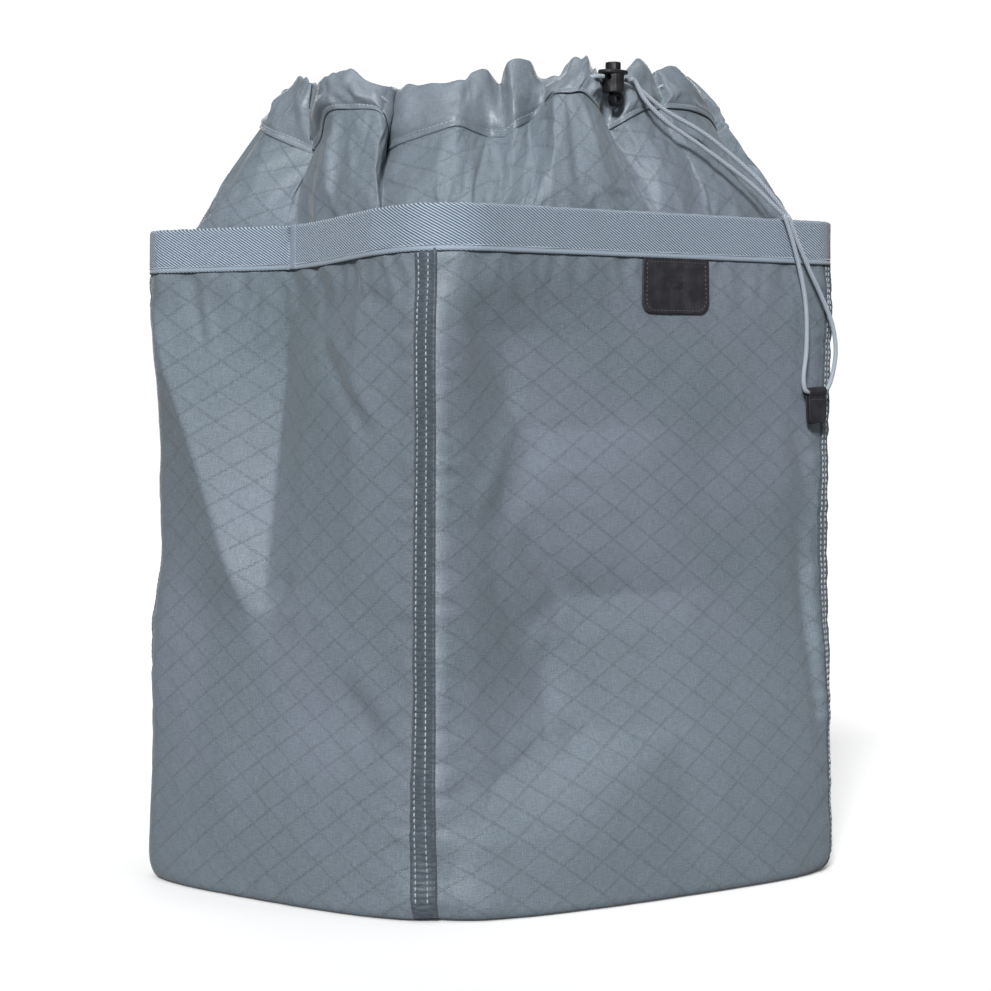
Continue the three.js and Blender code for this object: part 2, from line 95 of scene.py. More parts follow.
SEAM_PITCH = 3.2         # from one seam stitch to the next
FRONT_MIDDLE = 0.5 * FRONT_SIDE

COLLAR_FOOT = 341.0
MOUTH_HEIGHT = 458.0
MOUTH_HALF_LEFT = 110.0
MOUTH_HALF_RIGHT = 104.0
MOUTH_HALF_DEPTH = 92.0
CORD_RADIUS = 1.25

RIB_PITCH = 2.68
RIB_SLOPE = math.tan(math.radians(30))

# ------------------------------------------------------------------ small maths


def smooth(value, low, high):
    t = np.clip((value - low) / (high - low), 0.0, 1.0)
    return t * t * (3 - 2 * t)


def bell(value):
    return np.exp(-value * value)


def noise(s, z, size_s, size_z, seed):
    """Smooth noise from -1 to 1 that closes on itself once round the bag."""
    cells = max(3, round(PERIMETER / size_s))
    table = np.random.default_rng(seed).uniform(-1, 1, (cells, 64))
    u = np.mod(np.asarray(s, float) / PERIMETER, 1.0) * cells
    v = np.mod(np.asarray(z, float) / size_z, 64.0)
    u, v = np.broadcast_arrays(u, v)
    i, j = np.floor(u).astype(int), np.floor(v).astype(int)
    a, b = u - i, v - j
    a, b = a * a * (3 - 2 * a), b * b * (3 - 2 * b)
    i0, i1, j0, j1 = i % cells, (i + 1) % cells, j % 64, (j + 1) % 64
    low = table[i0, j0] * (1 - a) + table[i1, j0] * a
    high = table[i0, j1] * (1 - a) + table[i1, j1] * a
    return low * (1 - b) + high * b


def catmull(points, per_span):
    """Smooth curve through rows of numbers, per_span samples between neighbours."""
    rows = np.asarray(points, float)
    last = len(rows) - 1
    result = []
    t = np.linspace(0, 1, per_span, endpoint=False)[:, None]
    for k in range(last):
        p0, p1, p2, p3 = (rows[min(max(k + d, 0), last)] for d in (-1, 0, 1, 2))
        result.append(
            0.5 * (2 * p1 + (p2 - p0) * t + (2 * p0 - 5 * p1 + 4 * p2 - p3) * t * t
                   + (3 * p1 - p0 - 3 * p2 + p3) * t ** 3)
        )
    result.append(rows[-1:])
    return np.concatenate(result)


def distances(path):
    """Distance along a path to each of its points."""
    return np.append(0.0, np.cumsum(np.linalg.norm(np.diff(path, axis=0), axis=1)))


# ------------------------------------------------------------------ plan of the bag


def plan_knots():
    distance, angle, x, y = [0.0], [1.25 * math.pi], [-1.0], [-1.0]
    signs = [(-1, -1), (1, -1), (1, 1), (-1, 1)]
    for k, run in enumerate((FRONT_RUN, SIDE_RUN, FRONT_RUN, SIDE_RUN)):
        here, there = signs[k], signs[(k + 1) % 4]
        for step, turn, sign in ((HALF_ARC, 1, here), (run, 0, there), (HALF_ARC, 1, there)):
            distance.append(distance[-1] + step)
            angle.append(angle[-1] + turn * 0.25 * math.pi)
            x.append(sign[0])
            y.append(sign[1])
    centre_x = np.array(x) * (HALF_WIDTH - CORNER_RADIUS)
    centre_y = np.array(y) * (HALF_DEPTH - CORNER_RADIUS)
    return np.array(distance), np.array(angle), centre_x, centre_y


KNOTS = plan_knots()


def plan(s):
    """Point and outward direction on the walls, s millimetres anticlockwise from the
    middle of the front left corner."""
    distance, angle, centre_x, centre_y = KNOTS
    s = np.mod(np.asarray(s, float), PERIMETER)
    turn = np.interp(s, distance, angle)
    nx, ny = np.cos(turn), np.sin(turn)
    x = np.interp(s, distance, centre_x) + CORNER_RADIUS * nx
    y = np.interp(s, distance, centre_y) + CORNER_RADIUS * ny
    return x, y, nx, ny


def rim_crease(x, y, z):
    """How far the left wall is pushed in along the V at the rim."""
    across = np.clip(1 - (np.hypot(y - CREASE_Y, 5.0) - 3.0) / CREASE_HALF_WIDTH, 0, 1)
    leftness = smooth(-x, 0.82 * HALF_WIDTH, 0.92 * HALF_WIDTH)
    return CREASE_DEPTH * across * leftness * smooth(z, CREASE_FOOT, CREASE_TOP)


def belly(x, y, z):
    """The walls bulge over the base between the corners, most on the front."""
    along_x = np.clip(1 - np.abs(x / (HALF_WIDTH - 9)) ** 3, 0, 1)
    along_y = np.clip(1 - np.abs(y / (HALF_DEPTH - 9)) ** 3, 0, 1)
    facing_y = np.where(y < 0, 17.0, 4.5) * along_x * smooth(np.abs(y), 90, 122)
    facing_x = np.where(x < 0, 14.8, 5.5) * along_y * smooth(np.abs(x), 112, 146)
    return (facing_y + facing_x) * smooth(-z, -165, -6)


def rim_drop(x, y):
    return RIM_DROP * smooth(-x, 0, HALF_WIDTH) * smooth(y, -HALF_DEPTH, CREASE_Y)


# ------------------------------------------------------------------ shape of the walls


FACET_FOOT = 158.0      # the left facets run down to a tip at this height
RIDGE_RISE = 7.5        # the slanting ridge stands out this far
RIDGE_FALL = 7.5        # and the cloth beyond it falls in this far


def left_facets(x, y, z):
    """Facets of the left wall below the rim: a narrow one turned to the rear, a broad one
    that rises to a slanting ridge, and a hollow beyond the ridge."""
    reach = np.clip((z - FACET_FOOT) / (CREASE_TOP - FACET_FOOT), 0, 1)
    depth = (CREASE_DEPTH + 3.5 * bell((z - 255) / 50)) * np.clip(reach * 1.3, 0, 1) ** 0.7
    ridge = CREASE_Y + 10 + 92 * reach
    valley = CREASE_Y + 6 * np.sin((z - 170) / 52.0)
    back = np.clip(1 - (y - valley) / (ridge - valley), 0, 1)
    lifted = smooth(z, 140, 190) * smooth(-z, -335, -285)
    beyond = np.clip((y - ridge) / (124.0 - ridge), 0, 1)
    fall = RIDGE_RISE - (RIDGE_RISE + RIDGE_FALL) * beyond
    turned = 31.0 + 36.0 * smooth(z, 292, 336)
    shelf = 0.44 * depth
    near = valley - y
    front = np.where(
        near < turned,
        depth - (depth - shelf) * np.clip(near / turned, 0, 1),
        shelf * np.clip(1 - (near - turned) / (80 - turned), 0, 1),
    )
    rear = np.where(y > ridge, -fall * lifted, depth * back - RIDGE_RISE * lifted * (1 - back))
    depth_here = np.where(y > valley, rear, front)
    leftness = smooth(-x, 0.80 * HALF_WIDTH, 0.92 * HALF_WIDTH)
    tip = 2.4 * np.clip(1 - np.abs(z - FACET_FOOT) / 26, 0, 1)
    tip = tip * np.clip(1 - np.abs(y - 2) / 20, 0, 1)
    return (depth_here + tip) * leftness


# The valley of the front wall beside the front left corner: height, s, depth. Its heights and
# places were estimated from the reference photograph.
FRONT_VALLEY = (
    (40.0, 16.0, 0.0), (71.0, 34.0, 7.0), (92.0, 74.0, 11.0), (144.0, 82.0, 11.5), (165.0, 96.0, 13.0),
    (191.0, 66.0, 10.0), (214.0, 46.0, 8.5), (232.0, 46.0, 9.0), (255.0, 62.0, 12.0), (307.0, 47.0, 9.0),
    (345.0, 34.0, 0.0),
)
FOLD_SHARPNESS = 0.84   # how nearly square the cloth folds at the front left seam


def front_facets(s, z):
    """Depth of the front wall where it falls from the corner seam to a bent valley."""
    heights, places, depths = np.array(FRONT_VALLEY).T
    valley = np.interp(z, heights, places)
    depth = np.interp(z, heights, depths)
    across = around(s, SEAM_SHIFT)
    to_valley = valley - SEAM_SHIFT
    rising = np.clip(across / to_valley, 0, 1)
    falling = smooth(to_valley - across, -105.0, 12.0)
    return depth * np.minimum(rising, falling)


def corner_fold(s):
    """How far the front left corner stands out beyond its round plan."""
    turn = np.clip(np.hypot(around(s, -1.5), 2.0) / CORNER_RADIUS, 0, 0.25 * math.pi)
    return FOLD_SHARPNESS * CORNER_RADIUS * (1 / np.cos(0.25 * math.pi - turn) - 1)


def corner_share(s):
    """One at the middle of a corner, falling to nothing along the walls."""
    near = [np.abs(around(s, corner)) for corner in CORNERS]
    return bell(np.minimum.reduce(near) / 27.0)


def foot_tuck(s, z):
    """The cloth rolls under at the foot, most at the corners."""
    share = corner_share(s)
    height = 5.0 + 13.0 * share
    roll = np.clip((height - z) / (height - WALL_REACH), 0, 1)
    return (2.4 + 6.0 * share) * (1 - np.sqrt(np.clip(1 - roll ** 2, 0, 1)))


# Creases: start s, z, end s, z, half width, depth. One side of each stands proud.
CREASES = (
    (-97.0, 304.0, -52.0, 254.0, 6.5, 1.9),
    (-131.0, 331.0, -161.0, 303.0, 3.6, -1.7),
    (-208.0, 333.0, -196.0, 306.0, 3.5, 1.3),
    (-62.0, 330.0, -34.0, 322.0, 5.0, 1.0),
    (-70.0, 120.0, -38.0, 92.0, 9.0, 1.6),
    (-118.0, 176.0, -136.0, 158.0, 5.0, 1.8),
    (16.0, 322.0, 62.0, 262.0, 11.0, 2.2),
    (62.0, 262.0, 24.0, 212.0, 10.0, -1.8),
    (60.0, 198.0, 92.0, 166.0, 7.0, 1.5),
    (92.0, 166.0, 62.0, 148.0, 7.0, 1.0),
    (34.0, 172.0, 92.0, 104.0, 11.0, 2.0),
    (92.0, 104.0, 40.0, 78.0, 10.0, -1.5),
    (274.0, 186.0, 284.0, 70.0, 6.0, 2.2),
    (262.0, 262.0, 286.0, 204.0, 8.0, 1.5),
    (420.0, 322.0, 452.0, 236.0, 9.0, 2.2),
    (380.0, 150.0, 430.0, 96.0, 10.0, 2.0),
    (330.0, 250.0, 352.0, 170.0, 8.0, 1.6),
    (590.0, 320.0, 640.0, 240.0, 10.0, 2.2),
    (700.0, 210.0, 760.0, 120.0, 12.0, 2.2),
    (800.0, 320.0, 776.0, 230.0, 9.0, 1.8),
)

# Soft dents: middle s, z, half sizes, depth.
DENTS = (
    (42.0, 284.0, 34.0, 46.0, 3.0),
    (50.0, 112.0, 44.0, 34.0, 2.6),
    (-62.0, 100.0, 30.0, 16.0, 2.2),
    (210.0, 205.0, 60.0, 70.0, 1.8),
    (282.0, 205.0, 22.0, 72.0, 4.0),
    (130.0, 66.0, 46.0, 28.0, -1.6),
    (-150.0, 66.0, 44.0, 30.0, -1.8),
    (420.0, 190.0, 60.0, 90.0, 4.0),
    (660.0, 200.0, 80.0, 90.0, 4.0),
    (760.0, 110.0, 40.0, 46.0, 2.6),
)


def around(s, middle):
    """Distance along the plan from middle, the short way round."""
    return np.mod(s - middle + 0.5 * PERIMETER, PERIMETER) - 0.5 * PERIMETER


def crease_relief(s, z, crease):
    s0, z0, s1, z1, half_width, depth = crease
    length = math.hypot(s1 - s0, z1 - z0)
    along_s, along_z = (s1 - s0) / length, (z1 - z0) / length
    ds, dz = around(s, s0), z - z0
    along = (ds * along_s + dz * along_z) / length
    across = (ds * -along_z + dz * along_s) / half_width
    fade = smooth(along, -0.2, 0.25) * smooth(-along, -1.2, -0.75)
    return -depth * (bell(across) - 0.55 * bell(across - 1.5)) * fade


def wall_relief(s, z):
    """Outward shape of the wall cloth over the plain plan, without the left facets."""
    s, z = np.broadcast_arrays(np.asarray(s, float), np.asarray(z, float))
    free = smooth(z, 6, 40) * smooth(-z, -352, -318)
    relief = np.zeros(s.shape)
    for crease in CREASES:
        relief += crease_relief(s, z, crease)
    for middle, height, half_s, half_z, depth in DENTS:
        relief -= depth * bell(np.hypot(around(s, middle) / half_s, (z - height) / half_z))
    relief += 1.1 * noise(s, z, 64, 80, 11) + 0.55 * noise(s, z, 27, 36, 12)
    relief += 0.16 * noise(s, z, 10, 13, 13)
    relief -= front_facets(s, z)
    relief += corner_fold(s) * smooth(z, 14, 70) * smooth(-z, -350, -300)
    relief = relief * free
    gather = smooth(z, 316, 347)
    pull = 0.5 * gather + 0.5 * smooth(z, 290, 347) ** 2
    pull = pull * (1.1 + 1.6 * bell(around(s, -118.0) / 90.0)) * smooth(-z, -350, -344)
    relief += pull * (0.6 - 1.6 * np.abs(noise(s + 0.35 * z, z, 13, 70, 14)))
    relief += 0.5 * pull * noise(s - 0.2 * z, z, 6, 40, 15)
    foot = smooth(-z, -34, -8)
    relief += 0.35 * foot * noise(s, z, 12, 40, 16)
    for middle in SEAMS.values():
        near = np.abs(around(s, middle))
        relief += 0.9 * bell((near - 11) / 7.5) * noise(s, z, 30, 5.5, 17) * smooth(-z, -350, -335)
        relief -= 1.6 * bell((around(s, middle) - 7.3) / 0.75)
    return relief


def wall_point(s, z, offset=0.0, relief=True):
    s, z = np.broadcast_arrays(np.asarray(s, float), np.asarray(z, float))
    x, y, nx, ny = plan(s)
    facets = left_facets(x, y, z)
    top = smooth(z, 318, 347)
    push = facets * (1 - top) + rim_crease(x, y, z) * top
    out = offset - push + belly(x, y, z) - foot_tuck(s, z) + (wall_relief(s, z) if relief else 0.0)
    drop = rim_drop(x, y) * z / RIM_HEIGHT
    lean = 5.0 * smooth(-x, 90, 150) * smooth(y, 80, 122) * bell((z - 245) / 75)
    return np.stack([x + nx * out, y + ny * out + lean, z - drop], -1)


# ------------------------------------------------------------------ mesh building


def make_mesh(name, points, faces, uv=None):
    """Object from millimetre points. uv holds one pair for each face corner."""
    mesh = bpy.data.meshes.new(name)
    mesh.from_pydata((np.asarray(points, float).reshape(-1, 3) * MM).tolist(), [], faces)
    if uv is not None:
        layer = mesh.uv_layers.new(name="UVMap")
        layer.data.foreach_set("uv", np.asarray(uv, np.float32).ravel())
    mesh.polygons.foreach_set("use_smooth", [True] * len(mesh.polygons))
    mesh.validate()
    obj = bpy.data.objects.new(name, mesh)
    bpy.context.scene.collection.objects.link(obj)
    return obj


def grid(name, points, uv, closed=False, caps=False):
    """Object from rows of points. uv has one more column than a closed grid's points.
    caps fills the first and the last row of a closed grid."""
    rows, cols = points.shape[:2]
    spans = cols if closed else cols - 1
    i, j = np.meshgrid(np.arange(rows - 1), np.arange(spans), indexing="ij")
    i, j = i.ravel(), j.ravel()
    after = (j + 1) % cols
    faces = np.stack([i * cols + j, i * cols + after, (i + 1) * cols + after, (i + 1) * cols + j], -1)
    pairs = np.stack([uv[i, j], uv[i, j + 1], uv[i + 1, j + 1], uv[i + 1, j]], 1).reshape(-1, 2)
    faces = faces.tolist()
    if caps:
        faces.append(list(range(cols))[::-1])
        faces.append([(rows - 1) * cols + k for k in range(cols)])
        pairs = np.concatenate([pairs, uv[0, :cols][::-1], uv[-1, :cols]])
    return make_mesh(name, points, faces, pairs)


def thicken(obj, thickness, offset=-1.0):
    modifier = obj.modifiers.new("thickness", "SOLIDIFY")
    modifier.thickness = thickness * MM
    modifier.offset = offset
    modifier.use_even_offset = False
    return obj


def bevel(obj, width, segments, angle):
    """Rounds the edges that are sharper than angle, in degrees."""
    modifier = obj.modifiers.new("edges", "BEVEL")
    modifier.width = width * MM
    modifier.segments = segments
    modifier.limit_method = "ANGLE"
    modifier.angle_limit = math.radians(angle)


def path_frames(path):
    """Two directions square to a path at each of its points, without twist."""
    tangent = np.gradient(path, axis=0)
    tangent /= np.linalg.norm(tangent, axis=1, keepdims=True)
    side = np.cross(tangent[0], [0.0, 0.0, 1.0])
    if np.linalg.norm(side) < 0.2:
        side = np.cross(tangent[0], [0.0, 1.0, 0.0])
    sides = []
    for direction in tangent:
        side = side - direction * np.dot(side, direction)
        side = side / np.linalg.norm(side)
        sides.append(side)
    sides = np.array(sides)
    return sides, np.cross(tangent, sides)


def circles(angle, one, two):
    """Unit circles, one in the plane of each pair of directions."""
    return np.cos(angle)[None, :, None] * one[:, None] + np.sin(angle)[None, :, None] * two[:, None]


def tube(name, path, radius, sides=14):
    """Round cord along a path with closed, slightly rounded ends."""
    one, two = path_frames(path)
    length = distances(path)
    size = np.full(len(path), radius)
    size[0] = size[-1] = 0.72 * radius
    angle = np.linspace(0, 2 * math.pi, sides + 1)
    points = path[:, None] + circles(angle, one, two) * size[:, None, None]
    uv = np.stack(np.broadcast_arrays(length[:, None], angle[None] * radius), -1)
    return grid(name, points[:, :-1][:, ::-1], uv[:, ::-1], closed=True, caps=True)


STITCH_RINGS = 5
STITCH_SIDES = 6
STITCH_SINK = 0.25      # share of a stitch's radius that lies sunk in the cloth


def sweep_stitches(name, path, outward, pitch, length, radius):
    """Row of short thread stitches along a path, each standing proud of the cloth."""
    run = distances(path)
    count = int(run[-1] // pitch)
    middles = (np.arange(count) + 0.5) * run[-1] / count
    along = np.linspace(-1, 1, STITCH_RINGS)
    swell = 1 - along ** 4
    rise = swell * radius * (1 - STITCH_SINK) - radius * STITCH_SINK
    size = radius * (0.35 + 0.65 * swell)
    angle = np.linspace(0, 2 * math.pi, STITCH_SIDES + 1)[:-1]
    points, faces = [], []
    for middle in middles:
        at = middle + along * 0.5 * length
        centre = np.stack([np.interp(at, run, path[:, k]) for k in range(3)], -1)
        normal = np.stack([np.interp(at, run, outward[:, k]) for k in range(3)], -1)
        normal /= np.linalg.norm(normal, axis=1, keepdims=True)
        tangent = centre[-1] - centre[0]
        side = np.cross(tangent / np.linalg.norm(tangent), normal)
        centre = centre + normal * rise[:, None]
        first = len(points) * STITCH_RINGS * STITCH_SIDES
        points.append(centre[:, None] + circles(angle, normal, side) * size[:, None, None])
        for i in range(STITCH_RINGS - 1):
            near = first + i * STITCH_SIDES
            far = near + STITCH_SIDES
            for j in range(STITCH_SIDES):
                k = (j + 1) % STITCH_SIDES
                faces.append([near + j, near + k, far + k, far + j])
        faces.append([first + j for j in range(STITCH_SIDES)][::-1])
        faces.append([far + j for j in range(STITCH_SIDES)])
    return make_mesh(name, np.concatenate(points).reshape(-1, 3), faces)


# ------------------------------------------------------------------ materials


class Graph:
    """A material and short calls that add nodes to it."""

    def __init__(self, name):
        self.material = bpy.data.materials.new(name)
        self.material.use_nodes = True
        self.tree = self.material.node_tree
        self.shader = self.tree.nodes["Principled BSDF"]
        self.coords = self.tree.nodes.new("ShaderNodeTexCoord")

    def put(self, socket, value):
        if isinstance(value, bpy.types.NodeSocket):
            self.tree.links.new(value, socket)
        else:
            socket.default_value = value

    def add(self, kind, inputs, output=0, **settings):
        node = self.tree.nodes.new(kind)
        for key, value in settings.items():
            setattr(node, key, value)
        for key, value in inputs.items():
            self.put(node.inputs[key], value)
        return node.outputs[output]

    def math(self, operation, a, b=0.0):
        return self.add("ShaderNodeMath", {0: a, 1: b}, operation=operation)

    def split(self, vector):
        node = self.tree.nodes.new("ShaderNodeSeparateXYZ")
        self.tree.links.new(vector, node.inputs[0])
        return node.outputs[0], node.outputs[1], node.outputs[2]

    def scale(self, vector, x, y, z=1.0):
        return self.add("ShaderNodeVectorMath", {0: vector, 1: (x, y, z)}, operation="MULTIPLY")

    def noise(self, vector, scale, detail=2.0, roughness=0.5):
        return self.add("ShaderNodeTexNoise", {"Vector": vector, "Scale": scale, "Detail": detail,
                                               "Roughness": roughness})

    def ramp(self, value, low, high, start=0.0, end=1.0):
        return self.add("ShaderNodeMapRange", {0: value, 1: low, 2: high, 3: start, 4: end},
                        interpolation_type="SMOOTHSTEP")

    def blend(self, factor, one, two):
        node = self.tree.nodes.new("ShaderNodeMix")
        node.data_type = "RGBA"
        self.put(node.inputs[0], factor)
        self.put(node.inputs[6], one)
        self.put(node.inputs[7], two)
        return node.outputs[2]

    def fade(self, value, low, high, one, two):
        """From one 0 to 255 colour to another as a value goes from low to high."""
        return self.blend(self.ramp(value, low, high), colour(*one), colour(*two))

    def dust(self, base, value, low, high, amount, tone):
        """Up to amount of a 0 to 255 colour over base as a value goes from low to high."""
        return self.blend(self.ramp(value, low, high, 0.0, amount), base, colour(*tone))

    def weave(self, uv, fine, long):
        """Warp and weft of a plain weave, fine across its threads and long down them."""
        warp = self.noise(self.scale(uv, fine, long), 1.0, 1.0)
        weft = self.noise(self.scale(uv, long, fine), 1.0, 1.0)
        return self.math("MULTIPLY", self.math("ADD", warp, weft), 0.5)

    def bump(self, height, distance, strength, under=None):
        inputs = {"Height": height, "Distance": distance, "Strength": strength}
        if under is not None:
            inputs["Normal"] = under
        return self.add("ShaderNodeBump", inputs)

    def finish(self, **inputs):
        for key, value in inputs.items():
            self.put(self.shader.inputs[key.replace("_", " ")], value)
        return self.material


def colour(red, green, blue):
    """Linear colour from the usual 0 to 255 values."""
    parts = [v / 255 for v in (red, green, blue)]
    linear = [v / 12.92 if v <= 0.04045 else ((v + 0.055) / 1.055) ** 2.4 for v in parts]
    return (*linear, 1.0)


DIAMOND_WIDTH = 27.0
DIAMOND_HEIGHT = 17.0


def ripstop_material():
    """Satin nylon with a diamond grid of doubled threads. UV is in millimetres."""
    g = Graph("ripstop_nylon")
    uv = g.coords.outputs["UV"]
    u, v, _ = g.split(uv)
    across, up = g.math("DIVIDE", u, DIAMOND_WIDTH), g.math("DIVIDE", v, DIAMOND_HEIGHT)
    spacing = 1 / math.hypot(1 / DIAMOND_WIDTH, 1 / DIAMOND_HEIGHT)
    grain = g.noise(uv, 1.15, 1.0)
    threads = []
    for operation in ("ADD", "SUBTRACT"):
        phase = g.math(operation, across, up)
        distance = g.math("MULTIPLY", g.math("PINGPONG", phase, 0.5), spacing)
        pair = g.math("ABSOLUTE", g.math("SUBTRACT", distance, 0.42))
        threads.append(g.ramp(pair, 0.06, 0.26, 1.0, 0.0))
    lines = g.math("MAXIMUM", *threads)
    dash = g.ramp(g.noise(uv, 0.75, 0.0), 0.35, 0.6)
    lines = g.math("MULTIPLY", lines, g.math("ADD", g.math("MULTIPLY", dash, 0.6), 0.4))
    weave = g.weave(uv, 2.2, 0.16)
    cloud = g.noise(g.coords.outputs["Object"], 9.0, 3.0)
    base = g.fade(cloud, 0.38, 0.62, (100, 111, 120), (108, 117, 129))
    tint = g.ramp(g.noise(g.coords.outputs["Object"], 5.0, 1.0), 0.4, 0.62)
    base = g.blend(g.math("MULTIPLY", tint, 0.35), base, colour(96, 112, 117))
    base = g.dust(base, weave, 0.36, 0.64, 0.24, (156, 166, 176))
    base = g.dust(base, grain, 0.38, 0.62, 0.20, (66, 76, 84))
    base = g.blend(g.math("MULTIPLY", lines, 0.36), base, colour(50, 60, 66))
    height = g.math("ADD", g.math("MULTIPLY", weave, 0.7), g.math("MULTIPLY", grain, 0.5))
    height = g.math("ADD", height, g.math("MULTIPLY", lines, 0.5))
    wrinkle = g.noise(g.coords.outputs["Object"], 55.0, 3.0)
    soft = g.bump(wrinkle, 0.0012, 0.35)
    roughness = g.ramp(cloud, 0.3, 0.7, 0.48, 0.56)
    return g.finish(Base_Color=base, Roughness=roughness, Specular_IOR_Level=0.42, Sheen_Weight=0.12,
                    Sheen_Roughness=0.4, Normal=g.bump(height, 0.0004, 0.8, soft))


def plain_nylon_material():
    g = Graph("plain_nylon")
    uv = g.coords.outputs["UV"]
    weave = g.weave(uv, 2.0, 0.18)
    cloud = g.noise(g.coords.outputs["Object"], 14.0, 3.0)
    base = g.fade(cloud, 0.35, 0.65, (92, 103, 111), (108, 118, 128))
    base = g.dust(base, weave, 0.36, 0.64, 0.24, (160, 168, 178))
    wrinkle = g.noise(g.coords.outputs["Object"], 70.0, 4.0)
    soft = g.bump(wrinkle, 0.0012, 0.45)
    return g.finish(Base_Color=base, Roughness=0.42, Specular_IOR_Level=0.45, Sheen_Weight=0.12,
                    Sheen_Roughness=0.4, Normal=g.bump(weave, 0.0003, 0.7, soft))


def webbing_material():
    """Ribbed twill tape, with painted highlight on the rib crests and painted shade in the troughs. UV is
    distance round the rim and height, in millimetres.
    """
    g = Graph("webbing")
    uv = g.coords.outputs["UV"]
    u, v, _ = g.split(uv)
    phase = g.math("DIVIDE", g.math("ADD", u, g.math("DIVIDE", v, RIB_SLOPE)), RIB_PITCH)
    wave = g.math("MULTIPLY", g.math("PINGPONG", phase, 0.5), 2.0)
    rib_crest_and_highlight = g.ramp(wave, 0.15, 0.85)
    pick = g.math("DIVIDE", g.math("SUBTRACT", v, g.math("MULTIPLY", u, 0.35)), 1.1)
    pick = g.ramp(g.math("PINGPONG", pick, 0.5), 0.1, 0.4)
    edge = g.ramp(v, TAPE_FOOT + 2.3, TAPE_FOOT + 3.0, 1.0, 0.0)
    fuzz = g.noise(uv, 1.6, 2.0)
    # Painted light: the rib crests are painted light and the troughs dark, as painted highlight and painted
    # shade.
    base = g.blend(rib_crest_and_highlight, colour(46, 56, 70), colour(170, 186, 201))
    base = g.blend(g.math("MULTIPLY", pick, 0.16), base, colour(84, 94, 106))
    base = g.blend(g.math("MULTIPLY", edge, 0.75), base, colour(146, 160, 174))
    base = g.dust(base, fuzz, 0.35, 0.65, 0.2, (116, 128, 142))
    height = g.math("ADD", rib_crest_and_highlight, g.math("MULTIPLY", pick, 0.3))
    return g.finish(Base_Color=base, Roughness=0.62, Specular_IOR_Level=0.35, Sheen_Weight=0.3,
                    Sheen_Roughness=0.5, Normal=g.bump(height, 0.0003, 0.5))


def seam_material():
    """Felled seam: the same nylon packed tight, with little ridges between the stitches. The strip is
    painted darker than the wall's nylon, and its puckers are painted as darker and lighter patches of
    painted shade.
    """
    g = Graph("felled_seam")
    uv = g.coords.outputs["UV"]
    _, v, _ = g.split(uv)
    ridges = g.math("PINGPONG", g.math("DIVIDE", v, SEAM_PITCH), 0.5)
    grain = g.noise(uv, 1.3, 2.0)
    pucker = g.noise(g.scale(uv, 0.25, 0.9), 1.0, 1.0)
    # Painted shade: the puckers are painted as darker and lighter patches.
    base = g.fade(pucker, 0.35, 0.65, (62, 71, 79), (80, 89, 98))
    base = g.dust(base, grain, 0.35, 0.65, 0.35, (50, 58, 66))
    height = g.math("ADD", g.math("MULTIPLY", ridges, 1.2), g.math("MULTIPLY", grain, 0.7))
    return g.finish(Base_Color=base, Roughness=0.55, Specular_IOR_Level=0.4, Sheen_Weight=0.2,
                    Normal=g.bump(height, 0.0004, 0.6))


def base_material():
    """Coarse dark base cloth with a square basket weave."""
    g = Graph("base_fabric")
    point = g.scale(g.coords.outputs["Object"], 1000, 1000, 1000)
    x, y, z = g.split(point)
    one = g.math("SINE", g.math("MULTIPLY", x, 2.6))
    two = g.math("SINE", g.math("MULTIPLY", g.math("ADD", y, z), 2.6))
    weave = g.math("MULTIPLY", one, two)
    dust = g.noise(g.coords.outputs["Object"], 30.0, 4.0)
    base = g.fade(dust, 0.35, 0.7, (48, 56, 61), (62, 70, 76))
    base = g.dust(base, weave, -1.0, 1.0, 0.3, (84, 93, 99))
    return g.finish(Base_Color=base, Roughness=0.7, Specular_IOR_Level=0.3,
                    Normal=g.bump(weave, 0.0003, 0.5))


def lining_material():
    """Coated inside face of the base: pale grey, nearly smooth, with faint creases whose hollows are
    painted darker as painted shade.
    """
    g = Graph("base_lining_cloth")
    point = g.coords.outputs["Object"]
    crease = g.noise(point, 24.0, 4.0, 0.6)
    grain = g.noise(point, 900.0, 1.0)
    # Painted shade: the crease hollows are painted darker, following the crease bump.
    base = g.fade(crease, 0.35, 0.65, (88, 98, 105), (106, 115, 124))
    base = g.dust(base, grain, 0.3, 0.7, 0.25, (68, 78, 86))
    return g.finish(Base_Color=base, Roughness=0.5, Specular_IOR_Level=0.4,
                    Normal=g.bump(crease, 0.002, 0.5, g.bump(grain, 0.0002, 0.4)))


def board_material():
    g = Graph("stiffener_board")
    point = g.coords.outputs["Object"]
    fibre = g.noise(g.scale(point, 1.0, 8.0), 220.0, 3.0)
    base = g.fade(fibre, 0.3, 0.7, (34, 36, 38), (54, 56, 58))
    return g.finish(Base_Color=base, Roughness=0.75, Normal=g.bump(fibre, 0.0003, 0.4))


def cord_material():
    """Braided cord: two crossing sets of strands, with painted shade in the grooves between them. UV is
    length and girth, in millimetres.
    """
    g = Graph("braided_cord")
    uv = g.coords.outputs["UV"]
    u, v, _ = g.split(uv)
    strands = []
    for operation in ("ADD", "SUBTRACT"):
        turn = g.math("DIVIDE", g.math(operation, g.math("MULTIPLY", u, 0.9), v), 1.31)
        strands.append(g.math("MULTIPLY", g.math("PINGPONG", turn, 0.5), 2.0))
    braid_and_groove_shade = g.math("MULTIPLY", *strands)
    fuzz = g.noise(uv, 2.2, 2.0)
    # Painted shade: the grooves between the strands are painted dark.
    base = g.fade(braid_and_groove_shade, 0.02, 0.5, (108, 118, 130), (186, 195, 206))
    base = g.dust(base, fuzz, 0.3, 0.7, 0.3, (150, 160, 172))
    return g.finish(Base_Color=base, Roughness=0.6, Specular_IOR_Level=0.35, Sheen_Weight=0.3,
                    Normal=g.bump(braid_and_groove_shade, 0.0003, 0.7))


